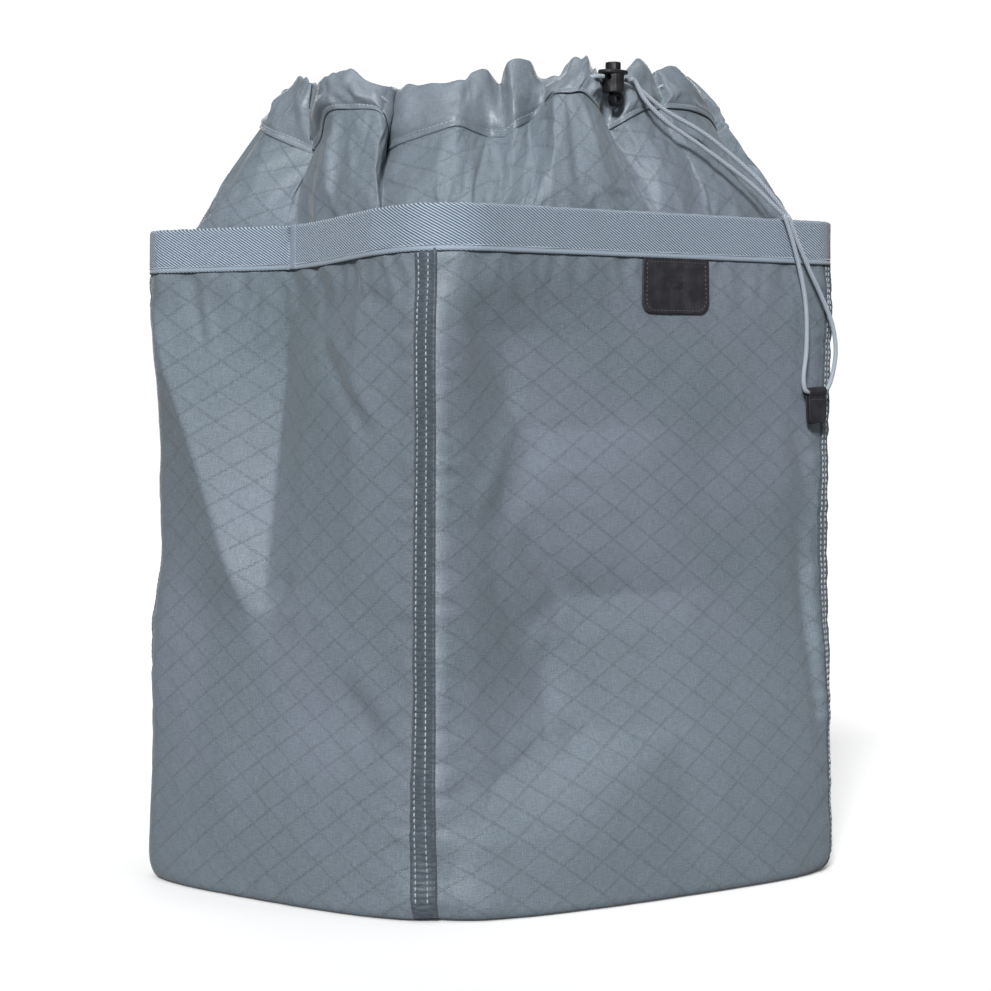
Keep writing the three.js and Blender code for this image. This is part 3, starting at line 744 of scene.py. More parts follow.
def thread_material():
    """Polyester sewing thread with a fine twist."""
    g = Graph("sewing_thread")
    point = g.coords.outputs["Object"]
    twist = g.noise(point, 1500.0, 1.0)
    tone = g.noise(point, 60.0, 1.0)
    base = g.fade(tone, 0.35, 0.65, (128, 140, 150), (158, 168, 178))
    return g.finish(Base_Color=base, Roughness=0.5, Sheen_Weight=0.2, Normal=g.bump(twist, 0.0001, 0.4))


def dark_thread_material():
    g = Graph("dark_thread")
    twist = g.noise(g.coords.outputs["Object"], 1500.0, 1.0)
    base = g.fade(twist, 0.3, 0.7, (60, 58, 64), (84, 82, 90))
    return g.finish(Base_Color=base, Roughness=0.5, Normal=g.bump(twist, 0.0001, 0.4))


def tape_end_material():
    """Fused end of the webbing, smoother and lighter than the ribs."""
    g = Graph("webbing_end")
    uv = g.coords.outputs["UV"]
    streak = g.noise(g.scale(uv, 2.0, 0.3), 1.0, 2.0)
    base = g.fade(streak, 0.3, 0.7, (116, 130, 146), (136, 150, 166))
    return g.finish(Base_Color=base, Roughness=0.55, Sheen_Weight=0.2,
                    Normal=g.bump(streak, 0.0002, 0.5))


def leather_material(name, tone):
    """Fine grained dark leather with pores."""
    g = Graph(name)
    point = g.coords.outputs["Object"]
    cells = g.add("ShaderNodeTexVoronoi", {"Vector": point, "Scale": 900.0})
    wear = g.noise(point, 120.0, 4.0)
    red, green, blue = tone
    base = g.fade(wear, 0.35, 0.7, tone, (red + 12, green + 12, blue + 13))
    roughness = g.ramp(wear, 0.3, 0.7, 0.48, 0.62)
    return g.finish(Base_Color=base, Roughness=roughness, Specular_IOR_Level=0.4,
                    Normal=g.bump(cells, 0.00025, 0.45, g.bump(wear, 0.0004, 0.3)))


def plastic_material():
    """Moulded black plastic: faintly mottled gloss and fine texture."""
    g = Graph("black_plastic")
    point = g.coords.outputs["Object"]
    grain = g.noise(point, 1400.0, 2.0)
    mottle = g.noise(point, 160.0, 2.0)
    base = g.fade(mottle, 0.3, 0.7, (20, 20, 23), (32, 32, 36))
    return g.finish(Base_Color=base, Roughness=g.ramp(mottle, 0.3, 0.7, 0.28, 0.42),
                    Normal=g.bump(grain, 0.00008, 0.3))


def steel_material():
    g = Graph("spring_steel")
    point = g.coords.outputs["Object"]
    streak = g.noise(g.scale(point, 1.0, 1.0, 12.0), 700.0, 2.0)
    base = g.fade(streak, 0.3, 0.7, (150, 152, 156), (186, 188, 192))
    return g.finish(Base_Color=base, Metallic=1.0, Roughness=g.ramp(streak, 0.3, 0.7, 0.22, 0.38))


def paint(obj, material):
    obj.data.materials.clear()
    obj.data.materials.append(material)
    return obj


def place(obj, body, slot, *nodes):
    """Fixes a piece to a body and hides the CAD nodes that it stands for; slot is not used."""
    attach(obj, body)
    if nodes:
        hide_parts(*nodes)


RIPSTOP = ripstop_material()
PLAIN = plain_nylon_material()
WEBBING = webbing_material()
SEAM = seam_material()
BASE = base_material()
LINING = lining_material()
BOARD = board_material()
CORD = cord_material()
THREAD = thread_material()
DARK_THREAD = dark_thread_material()
TAPE_END = tape_end_material()
LABEL = leather_material("label_leather", (37, 36, 41))
TAB = leather_material("tab_leather", (32, 31, 36))
PLASTIC = plastic_material()
STEEL = steel_material()

# ------------------------------------------------------------------ walls, seams and base

WALLS = {
    "wall_front": (SEAMS["front_left"], SEAMS["front_right"]),
    "wall_right": (SEAMS["front_right"], SEAMS["back_right"]),
    "wall_back": (SEAMS["back_right"], SEAMS["back_left"]),
    "wall_left": (SEAMS["back_left"], SEAMS["front_left"] + PERIMETER),
}
WALL_STEP = 2.0         # size of the wall's faces
ROLL = 8.0              # height of the finer faces where the cloth rolls under


def collapse(obj, slot, *nodes):
    """Places a wall piece on the root body, hiding its CAD nodes, and gives it a mesh of its own."""
    place(obj, "root", slot, *nodes)
    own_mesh(obj)


def build_wall(node, start, end):
    s = np.linspace(start, end, int((end - start) / WALL_STEP) + 1)[None]
    roll_z = WALL_REACH + ROLL * (np.linspace(0, 1, 9)[:-1] ** 2)
    z = np.append(roll_z, np.linspace(WALL_REACH + ROLL, WALL_TOP, int(WALL_TOP / WALL_STEP)))[:, None]
    points = wall_point(s, z)
    uv = np.stack(np.broadcast_arrays(s, z), -1)
    obj = paint(grid(node + "_cloth", points, uv), RIPSTOP)
    collapse(thicken(obj, CLOTH), "ripstop_nylon", node)


SEAM_HALF = 6.4


def seam_section(across):
    """Height of the felled seam over the wall, with a rolled edge on its right side."""
    body = 0.75 * smooth(across, -SEAM_HALF, -SEAM_HALF + 1.6)
    channel = 0.22 * sum(bell((across - row) / 0.9) for row in SEAM_ROWS)
    roll = 0.75 * bell((across - 5.3) / 1.1)
    ending = smooth(-across, -SEAM_HALF, -SEAM_HALF + 0.5)
    return (body - channel + roll) * ending + 0.05


def build_seam(corner, middle):
    across = np.linspace(-SEAM_HALF, SEAM_HALF, 43)[None]
    z = np.linspace(WALL_REACH + 0.8, TAPE_FOOT + 1.5, 420)[:, None]
    pucker = 0.18 * noise(middle + across, z, 40, SEAM_PITCH, 21)
    pucker = pucker + 0.15 * np.sin(z * 2 * math.pi / SEAM_PITCH)
    offset = seam_section(across) + pucker * bell(across / 6.0)
    points = wall_point(middle + across, z, offset)
    uv = np.stack(np.broadcast_arrays(across, z), -1)
    obj = paint(grid(f"seam_{corner}_strip", points, uv), SEAM)
    collapse(thicken(obj, 0.5), "felled_seam", f"seam_{corner}")
    for k, row in enumerate(SEAM_ROWS):
        height = np.linspace(WALL_FOOT + 2, TAPE_FOOT - 0.5, 500)
        path = wall_point(middle + row, height, float(seam_section(row)) + 0.1)
        _, _, nx, ny = plan(middle + row)
        outward = np.tile([float(nx), float(ny), 0.0], (len(path), 1))
        stitches = sweep_stitches(f"seam_{corner}_stitches_{k + 1}", path, outward, SEAM_PITCH, 2.5, 0.42)
        collapse(paint(stitches, THREAD), "felled_seam")


def build_base():
    """Dark tray: flat below, rolled up at its edge to meet the walls."""
    s = np.linspace(0, PERIMETER, 361)[:-1]
    x, y, nx, ny = plan(s)
    bulge = belly(x, y, 10.0) - 6.0 * corner_share(s)
    rings, heights = [], []
    for share in np.linspace(0.02, 0.94, 24):
        swell = bulge * share ** 4
        rings.append((share * x + nx * swell, share * y + ny * swell))
        heights.append(0.75 + 0.7 * noise(s, share * 400, 30, 30, 31) * (1 - share))
    edges = [(4.0 * (1 - math.sin(a)) + 2.6, 2.6 * (1 - math.cos(a)) + 0.02)
             for a in np.linspace(0, 0.5 * math.pi, 7)]
    edges += [(2.5, 4.6), (2.7, 5.8), (3.5, 6.2), (4.0, 5.2)]
    for inset, height in edges:
        rings.append((x + nx * (bulge - inset), y + ny * (bulge - inset)))
        heights.append(np.full(len(s), height))
    points = np.stack([np.stack([r[0], r[1], h], -1) for r, h in zip(rings, heights)])
    uv = np.concatenate([points[..., :2], points[:, :1, :2]], 1)
    obj = grid("base_panel_cloth", points, uv, closed=True)
    thicken(paint(obj, BASE), 0.8)
    place(obj, "root", "base_fabric", "base_panel")


def build_base_inside():
    """Lining over the board, slightly pillowed, and the taped seam round it."""
    s = np.linspace(0, PERIMETER, 281)[:-1]
    x, y, nx, ny = plan(s)
    rows = []
    for share in np.linspace(0.02, 1.0, 26):
        height = 4.3 + 0.7 * noise(s, share * 300, 45, 45, 32) * (1 - share ** 4)
        rows.append(np.stack([share * (x - 8 * nx), share * (y - 8 * ny), height], -1))
    points = np.array(rows)
    uv = np.concatenate([points[..., :2], points[:, :1, :2]], 1)
    lining = grid("base_lining_cloth", points, uv, closed=True)
    thicken(paint(lining, LINING), 0.5)
    place(lining, "root", "base_fabric", "base_lining")
    heights = np.linspace(8.8, 20.4, 9)[:, None]
    inset = -1.9 - 0.5 * np.cos((heights - 8.8) / 11.6 * 2 * math.pi)
    band = wall_point(s[None], heights, inset + 0.15 * noise(s[None], heights, 8, 30, 33), relief=False)
    uv = np.stack(np.broadcast_arrays(np.append(s, PERIMETER)[None], heights), -1)
    binding = thicken(paint(grid("base_seam_binding_tape", band, uv, closed=True), SEAM), 0.5)
    place(binding, "root", "felled_seam", "base_seam_binding")


for wall, (wall_start, wall_end) in WALLS.items():
    build_wall(wall, wall_start, wall_end)
for seam_corner, seam_middle in SEAMS.items():
    build_seam(seam_corner, seam_middle)
build_base()
build_base_inside()
paint(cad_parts["base_board"], BOARD)

# ------------------------------------------------------------------ webbing round the rim

LAP = -137.0            # where the two ends of the tape meet, in the left wall's crease
TAPE_OUT = 1.35         # the tape's outer leg stands this far outside the wall's plan
TAPE_STITCH = 3.1       # height of its stitch line over its lower edge
COLUMNS_PER_RIB = 6


def tape_section():
    """Profile of the folded tape: outer leg, fold over the rim, inner leg."""
    outer = [(TAPE_OUT, z) for z in np.linspace(TAPE_FOOT, RIM_HEIGHT - 1.6, 17)]
    fold = [(-0.6 + 1.95 * math.cos(a), RIM_HEIGHT - 1.6 + 1.6 * math.sin(a))
            for a in np.linspace(0.25, math.pi - 0.25, 6)]
    inner = [(-2.55, z) for z in np.linspace(RIM_HEIGHT - 1.8, TAPE_FOOT + 2, 6)]
    return np.array(outer + fold + inner)


def tape_offset(s, z, offset):
    """Ribs, the seated stitch line, the selvedge and the lapped end."""
    phase = 2 * math.pi * (s + z / RIB_SLOPE) / RIB_PITCH
    plain = smooth(-z, -(TAPE_FOOT + 3.2), -(TAPE_FOOT + 2.2))
    ribs = 0.24 * np.cos(phase) * (1 - plain)
    stitched = -0.3 * bell((z - TAPE_FOOT - TAPE_STITCH) / 0.7)
    selvedge = 0.12 * bell((z - TAPE_FOOT - 1.2) / 0.8)
    wavy = 0.22 * noise(s, z, 16, 30, 41)
    near = around(s, LAP)
    lap = 0.75 * smooth(near, -16, -1.0) * (near < 0)
    outer = np.sign(offset)
    return offset + outer * (ribs + stitched + selvedge) + wavy + lap * (offset > 0)


def build_tape():
    columns = round(PERIMETER / RIB_PITCH) * COLUMNS_PER_RIB
    section = tape_section()
    start = np.arange(columns + 1) * PERIMETER / columns
    s = start[None] - (section[:, 1:] - TAPE_FOOT) / RIB_SLOPE
    z = np.broadcast_to(section[:, 1:], s.shape)
    offset = tape_offset(s, z, np.broadcast_to(section[:, :1], s.shape))
    edge = 0.22 * noise(s, z * 0, 2.7, 1, 42) * smooth(z, RIM_HEIGHT - 4, RIM_HEIGHT)
    points = wall_point(s, z + edge, offset, relief=False)[:, :-1]
    uv = np.stack([s, z], -1)
    obj = paint(grid("rim_webbing_tape", points, uv, closed=True), WEBBING)
    place(thicken(obj, 0.45), "rim", "webbing", "rim_webbing")
    s = np.linspace(0, PERIMETER, 2200)
    height = TAPE_FOOT + TAPE_STITCH
    path = wall_point(s, height, tape_offset(s, height, TAPE_OUT) + 0.1, relief=False)
    _, _, nx, ny = plan(s)
    outward = np.stack([nx, ny, 0 * nx], -1)
    stitches = sweep_stitches("rim_stitches", path, outward, 2.7, 2.0, 0.33)
    place(paint(stitches, THREAD), "rim", "webbing")


def build_lap():
    """Plain folded strip where the two ends of the tape meet in the crease."""
    across = np.linspace(0.0, 6.0, 13)[None]
    z = np.linspace(TAPE_FOOT + 0.2, RIM_HEIGHT - 0.3, 26)[:, None]
    round_off = 0.55 * np.sqrt(np.clip(1 - ((across - 3.0) / 3.05) ** 2, 0, 1))
    points = wall_point(LAP + 0.3 + across, z, 1.3 + round_off, relief=False)
    uv = np.stack(np.broadcast_arrays(across, z), -1)
    obj = thicken(paint(grid("rim_webbing_lap", points, uv), TAPE_END), 0.4)
    place(obj, "rim", "webbing")


build_tape()
build_lap()

# ------------------------------------------------------------------ collar and casing

# Folds of the collar that stand or tuck most, anticlockwise from the left: distance round
# the bag at the collar's foot, then x, y, z of the casing's stitch line and top edge. Most of
# these numbers were printed by a helper program from places read off the reference photograph.
FRONT_FOLDS = (
    (-236, -105, 81, 427, -96, 73, 446),
    (-212, -114, 63, 422, -99, 60, 450),
    (-188, -112, 50, 417, -103, 47, 452),
    (-166, -104, 36, 410, -106, 35, 448),
    (-146, -101, 40, 411, -100, 39, 447),
    (-122, -109, 23, 418, -112, 20, 447),
    (-112, -126, -3, 429, -126, 2, 446),
    (-80, -124, -21, 430, -122, -12, 452),
    (-50, -119, -37, 428, -117, -30, 444),
    (-43, -113, -37, 419, -108, -33, 442),
    (-38, -103, -25, 409, -96, -26, 442),
    (-30, -108, -42, 411, -97, -36, 442),
    (-16, -106, -68, 416, -95, -56, 443),
    (-4, -100, -79, 419, -85, -66, 444),
    (7, -87, -78, 417, -75, -64, 449),
    (17, -72, -74, 415, -65, -65, 451),
    (26, -68, -82, 415, -55, -64, 445),
    (34, -64, -88, 420, -61, -77, 454),
    (43, -49, -83, 425, -47, -79, 455),
    (52, -46, -91, 432, -36, -75, 449),
    (62, -51, -103, 437, -35, -88, 449),
    (96, -46, -110, 438, -25, -97, 459),
    (132, -38, -113, 438, -17, -99, 452),
    (166, -24, -110, 430, -11, -99, 447),
    (169, -14, -99, 424, -4, -92, 445),
    (173, -5, -97, 421, 3, -90, 446),
    (186, 1, -105, 426, 11, -95, 452),
    (203, 18, -104, 433, 30, -91, 460),
    (214, 32, -99, 434, 43, -84, 451),
    (224, 38, -103, 435, 45, -88, 455),
    (240, 58, -101, 435, 61, -87, 458),
    (258, 82, -92, 432, 78, -80, 451),
    (276, 100, -83, 425, 92, -76, 444),
)
BACK_START = 300.0
BACK_END = PERIMETER - 262.0
BACK_FOLDS = 24
STITCH_HEIGHT = 424.0   # middle height of the stitch line over the back folds
CASING_TOP = 450.0      # and of the casing's top edge

COLLAR_COLUMNS = 14     # samples between neighbouring folds
COLLAR_ROWS = 44
CASING_ROWS = 12


def signed_power(value, power):
    return np.sign(value) * np.abs(value) ** power


def collar_cone(s, z, offset=0.0):
    """Plain cone from the wall's inside at COLLAR_FOOT to the gathered mouth."""
    x, y, nx, ny = plan(s)
    rise = np.clip((z - COLLAR_FOOT) / (MOUTH_HEIGHT - COLLAR_FOOT), 0, 1)
    angle = np.arctan2(y / HALF_DEPTH, x / HALF_WIDTH)
    mouth_x = np.where(x > 0, MOUTH_HALF_RIGHT, MOUTH_HALF_LEFT) * signed_power(np.cos(angle), 0.8)
    mouth_y = MOUTH_HALF_DEPTH * signed_power(np.sin(angle), 0.8)
    inset = 2.3 + rim_crease(x, y, z) - offset
    return np.stack([
        (x - nx * inset) * (1 - rise) + (mouth_x + nx * offset) * rise,
        (y - ny * inset) * (1 - rise) + (mouth_y + ny * offset) * rise,
        z - rim_drop(x, y) * (1 - rise) + 0 * x,
    ], -1)


def back_folds():
    """Folds of the right side and the back: each other one stands out and the next tucks in."""
    draw = np.random.default_rng(51)
    rows = []
    for k in range(BACK_FOLDS):
        s = BACK_START + (BACK_END - BACK_START) * k / (BACK_FOLDS - 1)
        s += draw.uniform(-5, 5)
        out = 1 if k % 2 == 0 else -1
        push = out * draw.uniform(4.5, 9.5)
        slide = draw.uniform(-4, 4)
        stitch = collar_cone(s + slide, STITCH_HEIGHT + 4.0, push)
        top = collar_cone(s + 1.6 * slide, CASING_TOP + 5.0, 0.55 * push)
        stitch[2] = STITCH_HEIGHT + 6.5 * out + draw.uniform(-3, 3)
        top[2] = CASING_TOP + 3.5 * out + draw.uniform(-4, 4)
        rows.append((s, *stitch, *top))
    return rows


def collar_curves():
    rows = catmull(list(FRONT_FOLDS) + back_folds(), COLLAR_COLUMNS)
    last = FRONT_FOLDS[0][0] + PERIMETER
    tail = np.array([back_folds()[-1], (last, *FRONT_FOLDS[0][1:])])
    t = np.linspace(0, 1, COLLAR_COLUMNS, endpoint=False)[1:, None]
    t = t * t * (3 - 2 * t)
    return np.concatenate([rows, tail[0] * (1 - t) + tail[1] * t])


def collar_surface():
    """Rows of points from the collar's foot to the stitch line, then to the top edge."""
    curves = collar_curves()
    s = curves[:, 0]
    foot = collar_cone(s, np.full(len(s), COLLAR_FOOT))
    stitch, top = curves[:, 1:4], curves[:, 4:7]
    t = np.linspace(0, 1, COLLAR_ROWS)[:, None, None]
    body = foot[None] * (1 - t) + stitch[None] * t
    away = body.copy()
    away[..., 2] = 0
    away /= np.linalg.norm(away, axis=-1, keepdims=True)
    height = t[..., 0]
    puff = 2.6 * np.sin(math.pi * height) ** 1.2
    rise = height * 60
    fine = 2.2 * (0.4 - np.abs(noise(s[None], rise, 19, 52, 61))) + 0.9 * noise(s[None], rise, 12, 40, 67)
    fine = fine + 0.7 * (0.4 - np.abs(noise(s[None], rise, 7, 34, 62)))
    body += away * (puff + fine * np.sin(math.pi * height) ** 0.7)[..., None]
    return s, body, stitch, top


def casing_rows(s, stitch, top):
    """The casing: folded hem at the stitch line, bulge over the cord, top edge, inside."""
    rows = []
    away = 0.5 * (stitch + top)
    away[:, 2] = 0
    away /= np.linalg.norm(away, axis=1, keepdims=True)
    up = np.array([0.0, 0.0, 1.0])
    levels = [(-0.05, 0.2), (-0.055, 0.9), (-0.02, 1.35), (0.03, 1.4), (0.07, 0.95)]
    levels += [(t, 1.0 + 2.3 * math.sin(math.pi * t) ** 0.8) for t in np.linspace(0.12, 0.96, CASING_ROWS)]
    levels += [(1.02, 0.9), (1.03, 0.0), (1.0, -0.8)]
    levels += [(t, -1.2 - 2.3 * math.sin(math.pi * t) ** 0.8) for t in np.linspace(0.94, 0.1, 9)]
    levels += [(0.02, -0.9)]
    for t, out in levels:
        crumple = 4.2 * (0.45 - np.abs(noise(s, t * 25, 18, 15, 63))) + 2.0 * noise(s, t * 25, 11, 9, 66)
        crumple = crumple + 1.5 * (0.4 - np.abs(noise(s, t * 25, 7.5, 7, 64)))
        crumple *= math.sin(math.pi * t) ** 0.6 if 0 < t < 1 else 0.0
        lift = (1.2 * noise(s, 0 * s, 6.0, 10, 65) + 1.6 * noise(s, 0 * s, 14.0, 10, 68)) * max(0.0, t) ** 2
        rows.append(stitch * (1 - t) + top * t + away * (out + crumple)[:, None]
                    + up * np.asarray(lift)[:, None])
    return np.array(rows), away


def arc_lengths(points):
    """Distance along each row of a closed grid, with one more column than it has."""
    around_row = np.concatenate([points, points[:, :1]], 1)
    steps = np.linalg.norm(np.diff(around_row, axis=1), axis=-1)
    return np.concatenate([np.zeros((len(points), 1)), np.cumsum(steps, axis=1)], 1)


def cloth_uv(points):
    """Millimetres round and up the cloth, so that its weave stays even over the folds."""
    width = arc_lengths(points).mean(0, keepdims=True)
    rise = np.linalg.norm(np.diff(points, axis=0), axis=-1).mean(1)
    height = np.concatenate([[0.0], np.cumsum(rise)])[:, None]
    return np.stack(np.broadcast_arrays(width, height), -1)


HELD_FOOT_ROWS = 12      # rows of the collar that lie inside the rim
HELD_TOP_ROWS = 2        # and at its stitch line
COLLAR_SLACK = 0.008     # spare cloth in the collar, which wrinkles between its seams
DRAPE_FRAMES = 9
DRAPE_LIMIT = 4.0        # no point of the collar moves further than this, in millimetres


def drape(obj, held):
    """Runs the cloth solver on a piece and applies it. held is true where the cloth is sewn."""
    before = np.empty(len(obj.data.vertices) * 3)
    obj.data.vertices.foreach_get("co", before)
    group = obj.vertex_groups.new(name="sewn")
    group.add(np.flatnonzero(~held).tolist(), 0.0, "REPLACE")
    group.add(np.flatnonzero(held).tolist(), 1.0, "REPLACE")
    modifier = obj.modifiers.new("drape", "CLOTH")
    settings = modifier.settings
    settings.quality = 4
    settings.mass = 0.08
    settings.tension_stiffness = 25
    settings.compression_stiffness = 25
    settings.shear_stiffness = 8
    settings.bending_stiffness = 6.0
    settings.vertex_group_mass = "sewn"
    settings.shrink_min = -COLLAR_SLACK
    settings.effector_weights.gravity = 0.0
    modifier.collision_settings.use_collision = False
    modifier.point_cache.frame_start = 1
    modifier.point_cache.frame_end = DRAPE_FRAMES
    scene = bpy.context.scene
    for step in range(1, DRAPE_FRAMES + 1):
        scene.frame_set(step)
    moved = obj.evaluated_get(bpy.context.evaluated_depsgraph_get())
    after = np.empty(len(before))
    moved.data.vertices.foreach_get("co", after)
    obj.modifiers.remove(modifier)
    scene.frame_set(1)
    shift = (after - before).reshape(-1, 3)
    length = np.linalg.norm(shift, axis=1, keepdims=True)
    limit = DRAPE_LIMIT * MM
    shift *= limit * np.tanh(length / limit) / np.maximum(length, 1e-9)
    obj.data.vertices.foreach_set("co", before + shift.ravel())
    obj.data.update()


def build_collar():
    s, body, stitch, top = collar_surface()
    obj = grid("collar_cloth", body, cloth_uv(body), closed=True)
    held = np.zeros(body.shape[:2], bool)
    held[:HELD_FOOT_ROWS] = True
    held[-HELD_TOP_ROWS:] = True
    drape(obj, held.ravel())
    thicken(paint(obj, RIPSTOP), CLOTH)
    place(obj, "rim", "ripstop_nylon", "collar_front", "collar_back")
    rows, away = casing_rows(s, stitch, top)
    casing = grid("drawcord_casing_cloth", rows, cloth_uv(rows), closed=True)
    thicken(paint(casing, PLAIN), 0.5)
    place(casing, "rim", "plain_nylon", "drawcord_casing")
    line = np.concatenate([rows[4], rows[4][:1]])
    outward = np.concatenate([away, away[:1]])
    stitches = sweep_stitches("casing_stitches", line, outward, 2.6, 1.9, 0.34)
    place(paint(stitches, THREAD), "rim", "plain_nylon")
    outer = 5 + CASING_ROWS // 2
    inner = len(rows) - 1 - 6
    return 0.5 * (rows[outer] + rows[inner])


CASING_MIDDLE = build_collar()

# ------------------------------------------------------------------ drawcord, lock and loop

STRAND_A = (
    (1.0, -110.3, 447.5), (4.4, -110.9, 445.6), (9.4, -113.4, 436.0), (21.6, -118.0, 424.4),
    (44.4, -124.0, 411.2), (74.0, -131.6, 392.6), (90.0, -136.0, 379.8), (96.4, -137.2, 374.9),
)
STRAND_B = (
    (1.0, -106.1, 447.5), (7.0, -107.0, 445.2), (15.0, -109.4, 439.0), (27.5, -113.0, 430.6),
    (52.0, -120.6, 418.0), (79.0, -129.4, 397.8), (93.0, -134.8, 383.0), (100.2, -136.6, 374.9),
)
LOOP = (
    (96.4, -137.2, 374.9), (97.6, -138.2, 372.0), (103.5, -138.4, 359.0), (111.0, -138.2, 339.0),
    (115.0, -138.0, 321.0), (115.2, -138.0, 300.0), (112.8, -138.0, 284.0), (113.4, -138.0, 277.4),
    (116.2, -137.9, 275.0), (123.0, -137.8, 275.0), (130.0, -137.8, 275.2), (135.0, -138.6, 280.5),
    (138.2, -139.8, 297.0), (135.5, -139.8, 313.0), (127.0, -139.2, 329.0), (117.0, -138.8, 344.0),
    (108.0, -138.4, 359.0), (101.4, -138.0, 372.0), (100.2, -136.6, 374.9),
)
LOCK_LEADS = (
    ((-20.0, -110.3, 447.5), (-25.0, -109.6, 447.3), (-29.0, -107.3, 446.5), (-33.0, -103.4, 445.6),
     (-36.5, -99.0, 445.0)),
    ((-20.0, -106.1, 447.5), (-24.0, -105.2, 447.2), (-27.5, -102.2, 446.2), (-30.5, -98.0, 445.2)),
)


def sliding_cord(name, path, samples):
    """Cord along a path between the lock and the rim."""
    obj = paint(tube(name, catmull(path, samples), CORD_RADIUS), CORD)
    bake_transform(obj)


def build_cords():
    for name, path in (("strand_front", STRAND_A), ("strand_rear", STRAND_B)):
        sliding_cord(f"drawcord_{name}", path, 16)
    loop = paint(tube("drawcord_loop_cord", catmull(LOOP, 14), CORD_RADIUS), CORD)
    place(loop, "cord_loop", "cord", "drawcord_loop")
    for k, path in enumerate(LOCK_LEADS):
        sliding_cord(f"drawcord_lead_{k + 1}", path, 12)
    hidden = paint(tube("drawcord_in_casing", CASING_MIDDLE, 0.9, 8), CORD)
    place(hidden, "rim", "cord", "drawcord")


def dress_lock():
    for node in ("cord_lock_body", "cord_lock_button"):
        bevel(paint(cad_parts[node], PLASTIC), 0.35, 3, 35)
    paint(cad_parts["cord_lock_spring"], STEEL)


build_cords()
dress_lock()

# ------------------------------------------------------------------ label and pull tab


PATCH_STEPS = 10         # faces round each corner of the patch
STITCH_SHARE = 0.885     # size of its stitch line, as a share of its outline
BAR_HEIGHT = 0.7         # the plain bar stands out this far


def patch_outline(width, height, radius_top, radius_foot):
    """Rounded rectangle about the origin, anticlockwise from its lower left corner."""
    points = []
    corners = (
        (-1, -1, radius_foot, math.pi), (1, -1, radius_foot, 1.5 * math.pi),
        (1, 1, radius_top, 0.0), (-1, 1, radius_top, 0.5 * math.pi),
    )
    for cx, cy, radius, start in corners:
        for k in range(PATCH_STEPS + 1):
            a = start + 0.5 * math.pi * k / PATCH_STEPS
            points.append((cx * (0.5 * width - radius) + radius * math.cos(a),
                           cy * (0.5 * height - radius) + radius * math.sin(a)))
    return np.array(points)


def patch_rows(outline, thickness):
    """Rings of a thin pad from the middle of its back, round its edge, to its front middle.
    Each ring is x, height, lift."""
    rows = [(outline * share, 0.0) for share in (0.02, 0.5, 0.9)]
    for a in np.linspace(0, math.pi, 7):
        share = 1 - 0.5 * (1 - math.sin(a)) / 12
        rows.append((outline * share, 0.5 * thickness * (1 - math.cos(a))))
    for share in np.linspace(0.95, 0.03, 22):
        groove = 0.28 * bell((share - STITCH_SHARE) / 0.018)
        rows.append((outline * share, thickness - groove))
    return rows


def build_label():
    low, high = (np.array(c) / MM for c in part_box("label_patch"))
    width, height = high[0] - low[0], high[2] - low[2]
    middle_x, middle_z = 0.5 * (low[0] + high[0]), 0.5 * (low[2] + high[2])
    outline = patch_outline(width, height, 1.0, 7.0)
    rows = []
    for ring, lift in patch_rows(outline, 1.3):
        s = FRONT_MIDDLE + middle_x + ring[:, 0]
        z = middle_z + ring[:, 1]
        bar = BAR_HEIGHT * smooth(-np.abs(ring[:, 0]), -15.5, -14.7)
        bar = bar * smooth(-np.abs(ring[:, 1] - 1.5), -2.6, -1.9)
        rows.append(wall_point(s, z, 0.35 + lift + bar * (lift > 1.0)))
    points = np.array(rows)
    uv = np.concatenate([points[..., ::2], points[:, :1, ::2]], 1)
    obj = grid("label_patch_leather", points[:, ::-1], uv[:, ::-1], closed=True, caps=True)
    place(paint(obj, LABEL), "rim", "dark_leather", "label_patch")
    edge = np.roll(outline * STITCH_SHARE, -(PATCH_STEPS + 1), axis=0)
    edge = np.concatenate([edge, edge[:1]])
    path = wall_point(FRONT_MIDDLE + middle_x + edge[:, 0], middle_z + edge[:, 1], 1.5)
    outward = np.tile([0.0, -1.0, 0.0], (len(path), 1))
    stitches = sweep_stitches("label_stitches", path, outward, 2.4, 1.7, 0.28)
    place(paint(stitches, DARK_THREAD), "rim", "dark_leather")


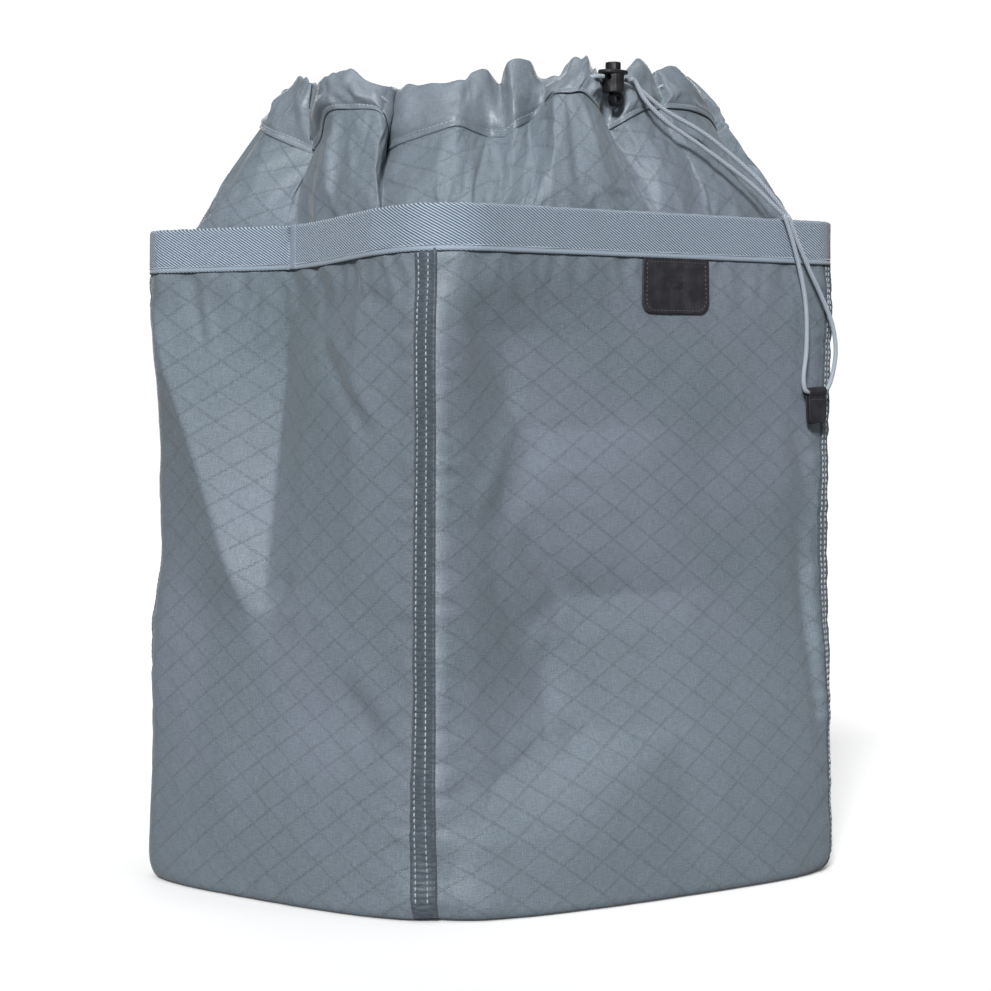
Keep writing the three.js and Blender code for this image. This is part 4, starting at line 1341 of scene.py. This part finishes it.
def build_pull_tab():
    """Leather strip folded over the cord, its two legs stitched together below."""
    low, high = (np.array(c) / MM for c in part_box("pull_tab"))
    middle_x, middle_y = 0.5 * (low[0] + high[0]), 0.5 * (low[1] + high[1])
    bottom, top = low[2], high[2]
    turn_radius = 0.5 * (high[1] - low[1]) - 0.55
    centre_z = top - turn_radius - 0.55
    profile = [(-1.05, bottom + 0.2 + t * (centre_z - bottom - 3.0)) for t in np.linspace(0, 1, 14)]
    for a in np.linspace(math.radians(218), math.radians(-38), 15):
        profile.append((turn_radius * math.cos(a), centre_z + turn_radius * math.sin(a)))
    profile += [(1.05, bottom + 0.2 + t * (centre_z - bottom - 3.0)) for t in np.linspace(1, 0, 14)]
    profile = catmull(profile, 2)
    across = np.linspace(-0.5, 0.5, 29)
    rows = []
    for out, z in profile:
        near_foot = np.clip((bottom + 4.0 - z) / 4.0, 0, 1)
        half = 14.0 - 2 * (4.0 - math.sqrt(max(0.0, 16.0 - (4.0 * near_foot) ** 2))) * 0.8
        bow = 0.35 * np.cos(across * math.pi)
        lean = 0.045 * (z - top)
        rows.append(np.stack([middle_x + across * half - lean, middle_y + out - np.sign(out) * bow * 0.3,
                              np.full(len(across), z) + 0.9 * across], -1))
    points = np.array(rows)
    run = np.arange(len(points))[:, None] * 1.0
    uv = np.stack(np.broadcast_arrays(run, across[None] * 14.0), -1)
    obj = thicken(paint(grid("pull_tab_leather", points, uv), TAB), 0.9, 0.0)
    bevel(obj, 0.2, 2, 30)
    place(obj, "pull_tab", "dark_leather", "pull_tab")
    for side, facing in ((-1, "front"), (1, "rear")):
        path = np.stack([np.linspace(middle_x - 5.2, middle_x + 5.2, 30),
                         np.full(30, middle_y + side * 1.55),
                         np.full(30, centre_z - 4.6)], -1)
        outward = np.tile([0.0, float(side), 0.0], (30, 1))
        stitches = sweep_stitches(f"pull_tab_stitches_{facing}", path, outward, 2.0, 1.4, 0.24)
        place(paint(stitches, DARK_THREAD), "pull_tab", "dark_leather")


build_label()
build_pull_tab()

# ------------------------------------------------------------------ studio


def studio_material():
    """White to the camera, and grey in what it throws back at the bag."""
    g = Graph("studio_floor")
    tone = g.noise(g.coords.outputs["Object"], 2.0, 1.0)
    base = g.fade(tone, 0.3, 0.7, (243, 243, 243), (246, 246, 246))
    path = g.tree.nodes.new("ShaderNodeLightPath")
    base = g.blend(path.outputs["Is Camera Ray"], colour(118, 118, 118), base)
    glow = g.math("MULTIPLY", path.outputs["Is Camera Ray"], 0.1)
    return g.finish(Base_Color=base, Roughness=0.9, Specular_IOR_Level=0.1,
                    Emission_Color=(1.0, 1.0, 1.0, 1.0), Emission_Strength=glow)


def build_floor():
    half = 9000.0
    steps = np.linspace(-half, half, 13)
    x, y = np.meshgrid(steps, steps)
    points = np.stack([x, y, 0 * x], -1)
    uv = np.stack([x, y], -1)
    paint(grid("studio_floor", points, uv), studio_material())


def sun(name, toward, strength, softness):
    """Large far softbox: toward is the direction from the bag to the light."""
    light = bpy.data.lights.new(name, "SUN")
    light.energy = strength
    light.angle = math.radians(softness)
    obj = bpy.data.objects.new(name, light)
    bpy.context.scene.collection.objects.link(obj)
    obj.rotation_euler = Vector(toward).to_track_quat("Z", "Y").to_euler()


def build_world():
    """Grey light for the object, white for the camera."""
    world = bpy.data.worlds.new("studio")
    bpy.context.scene.world = world
    world.use_nodes = True
    tree = world.node_tree
    tree.nodes.clear()
    path = tree.nodes.new("ShaderNodeLightPath")
    fill = tree.nodes.new("ShaderNodeBackground")
    fill.inputs["Color"].default_value = (0.93, 0.96, 1.0, 1.0)
    fill.inputs["Strength"].default_value = WORLD_FILL
    white = tree.nodes.new("ShaderNodeBackground")
    white.inputs["Color"].default_value = (1.0, 1.0, 1.0, 1.0)
    white.inputs["Strength"].default_value = 1.05
    mix = tree.nodes.new("ShaderNodeMixShader")
    out = tree.nodes.new("ShaderNodeOutputWorld")
    tree.links.new(path.outputs["Is Camera Ray"], mix.inputs[0])
    tree.links.new(fill.outputs[0], mix.inputs[1])
    tree.links.new(white.outputs[0], mix.inputs[2])
    tree.links.new(mix.outputs[0], out.inputs[0])


WORLD_FILL = 0.07
# The camera's place, lens and shift were fitted to the reference photograph.
VIEW_AZIMUTH = -43.0
CAMERA_PLACE = (-1.2958, -1.3896, 0.273)
FOCAL_LENGTH = 119.9
SHIFT = (0.0025, -0.1011)


def build_camera():
    data = bpy.data.cameras.new("camera")
    data.sensor_width = 36.0
    data.lens = FOCAL_LENGTH
    data.shift_x, data.shift_y = SHIFT
    camera = bpy.data.objects.new("camera", data)
    bpy.context.scene.collection.objects.link(camera)
    camera.location = CAMERA_PLACE
    camera.rotation_euler = (math.radians(90), 0, math.radians(VIEW_AZIMUTH))
    bpy.context.scene.camera = camera


build_floor()
build_world()
sun("key", (-0.73, -0.62, 0.44), 4.5, 10)
sun("right", (0.35, -0.85, 0.45), 0.25, 12)
sun("top", (0.05, -0.10, 1.0), 0.9, 36)
sun("rear", (0.66, 0.74, 0.16), 1.9, 50)
build_camera()
bpy.context.scene.view_settings.view_transform = "Standard"
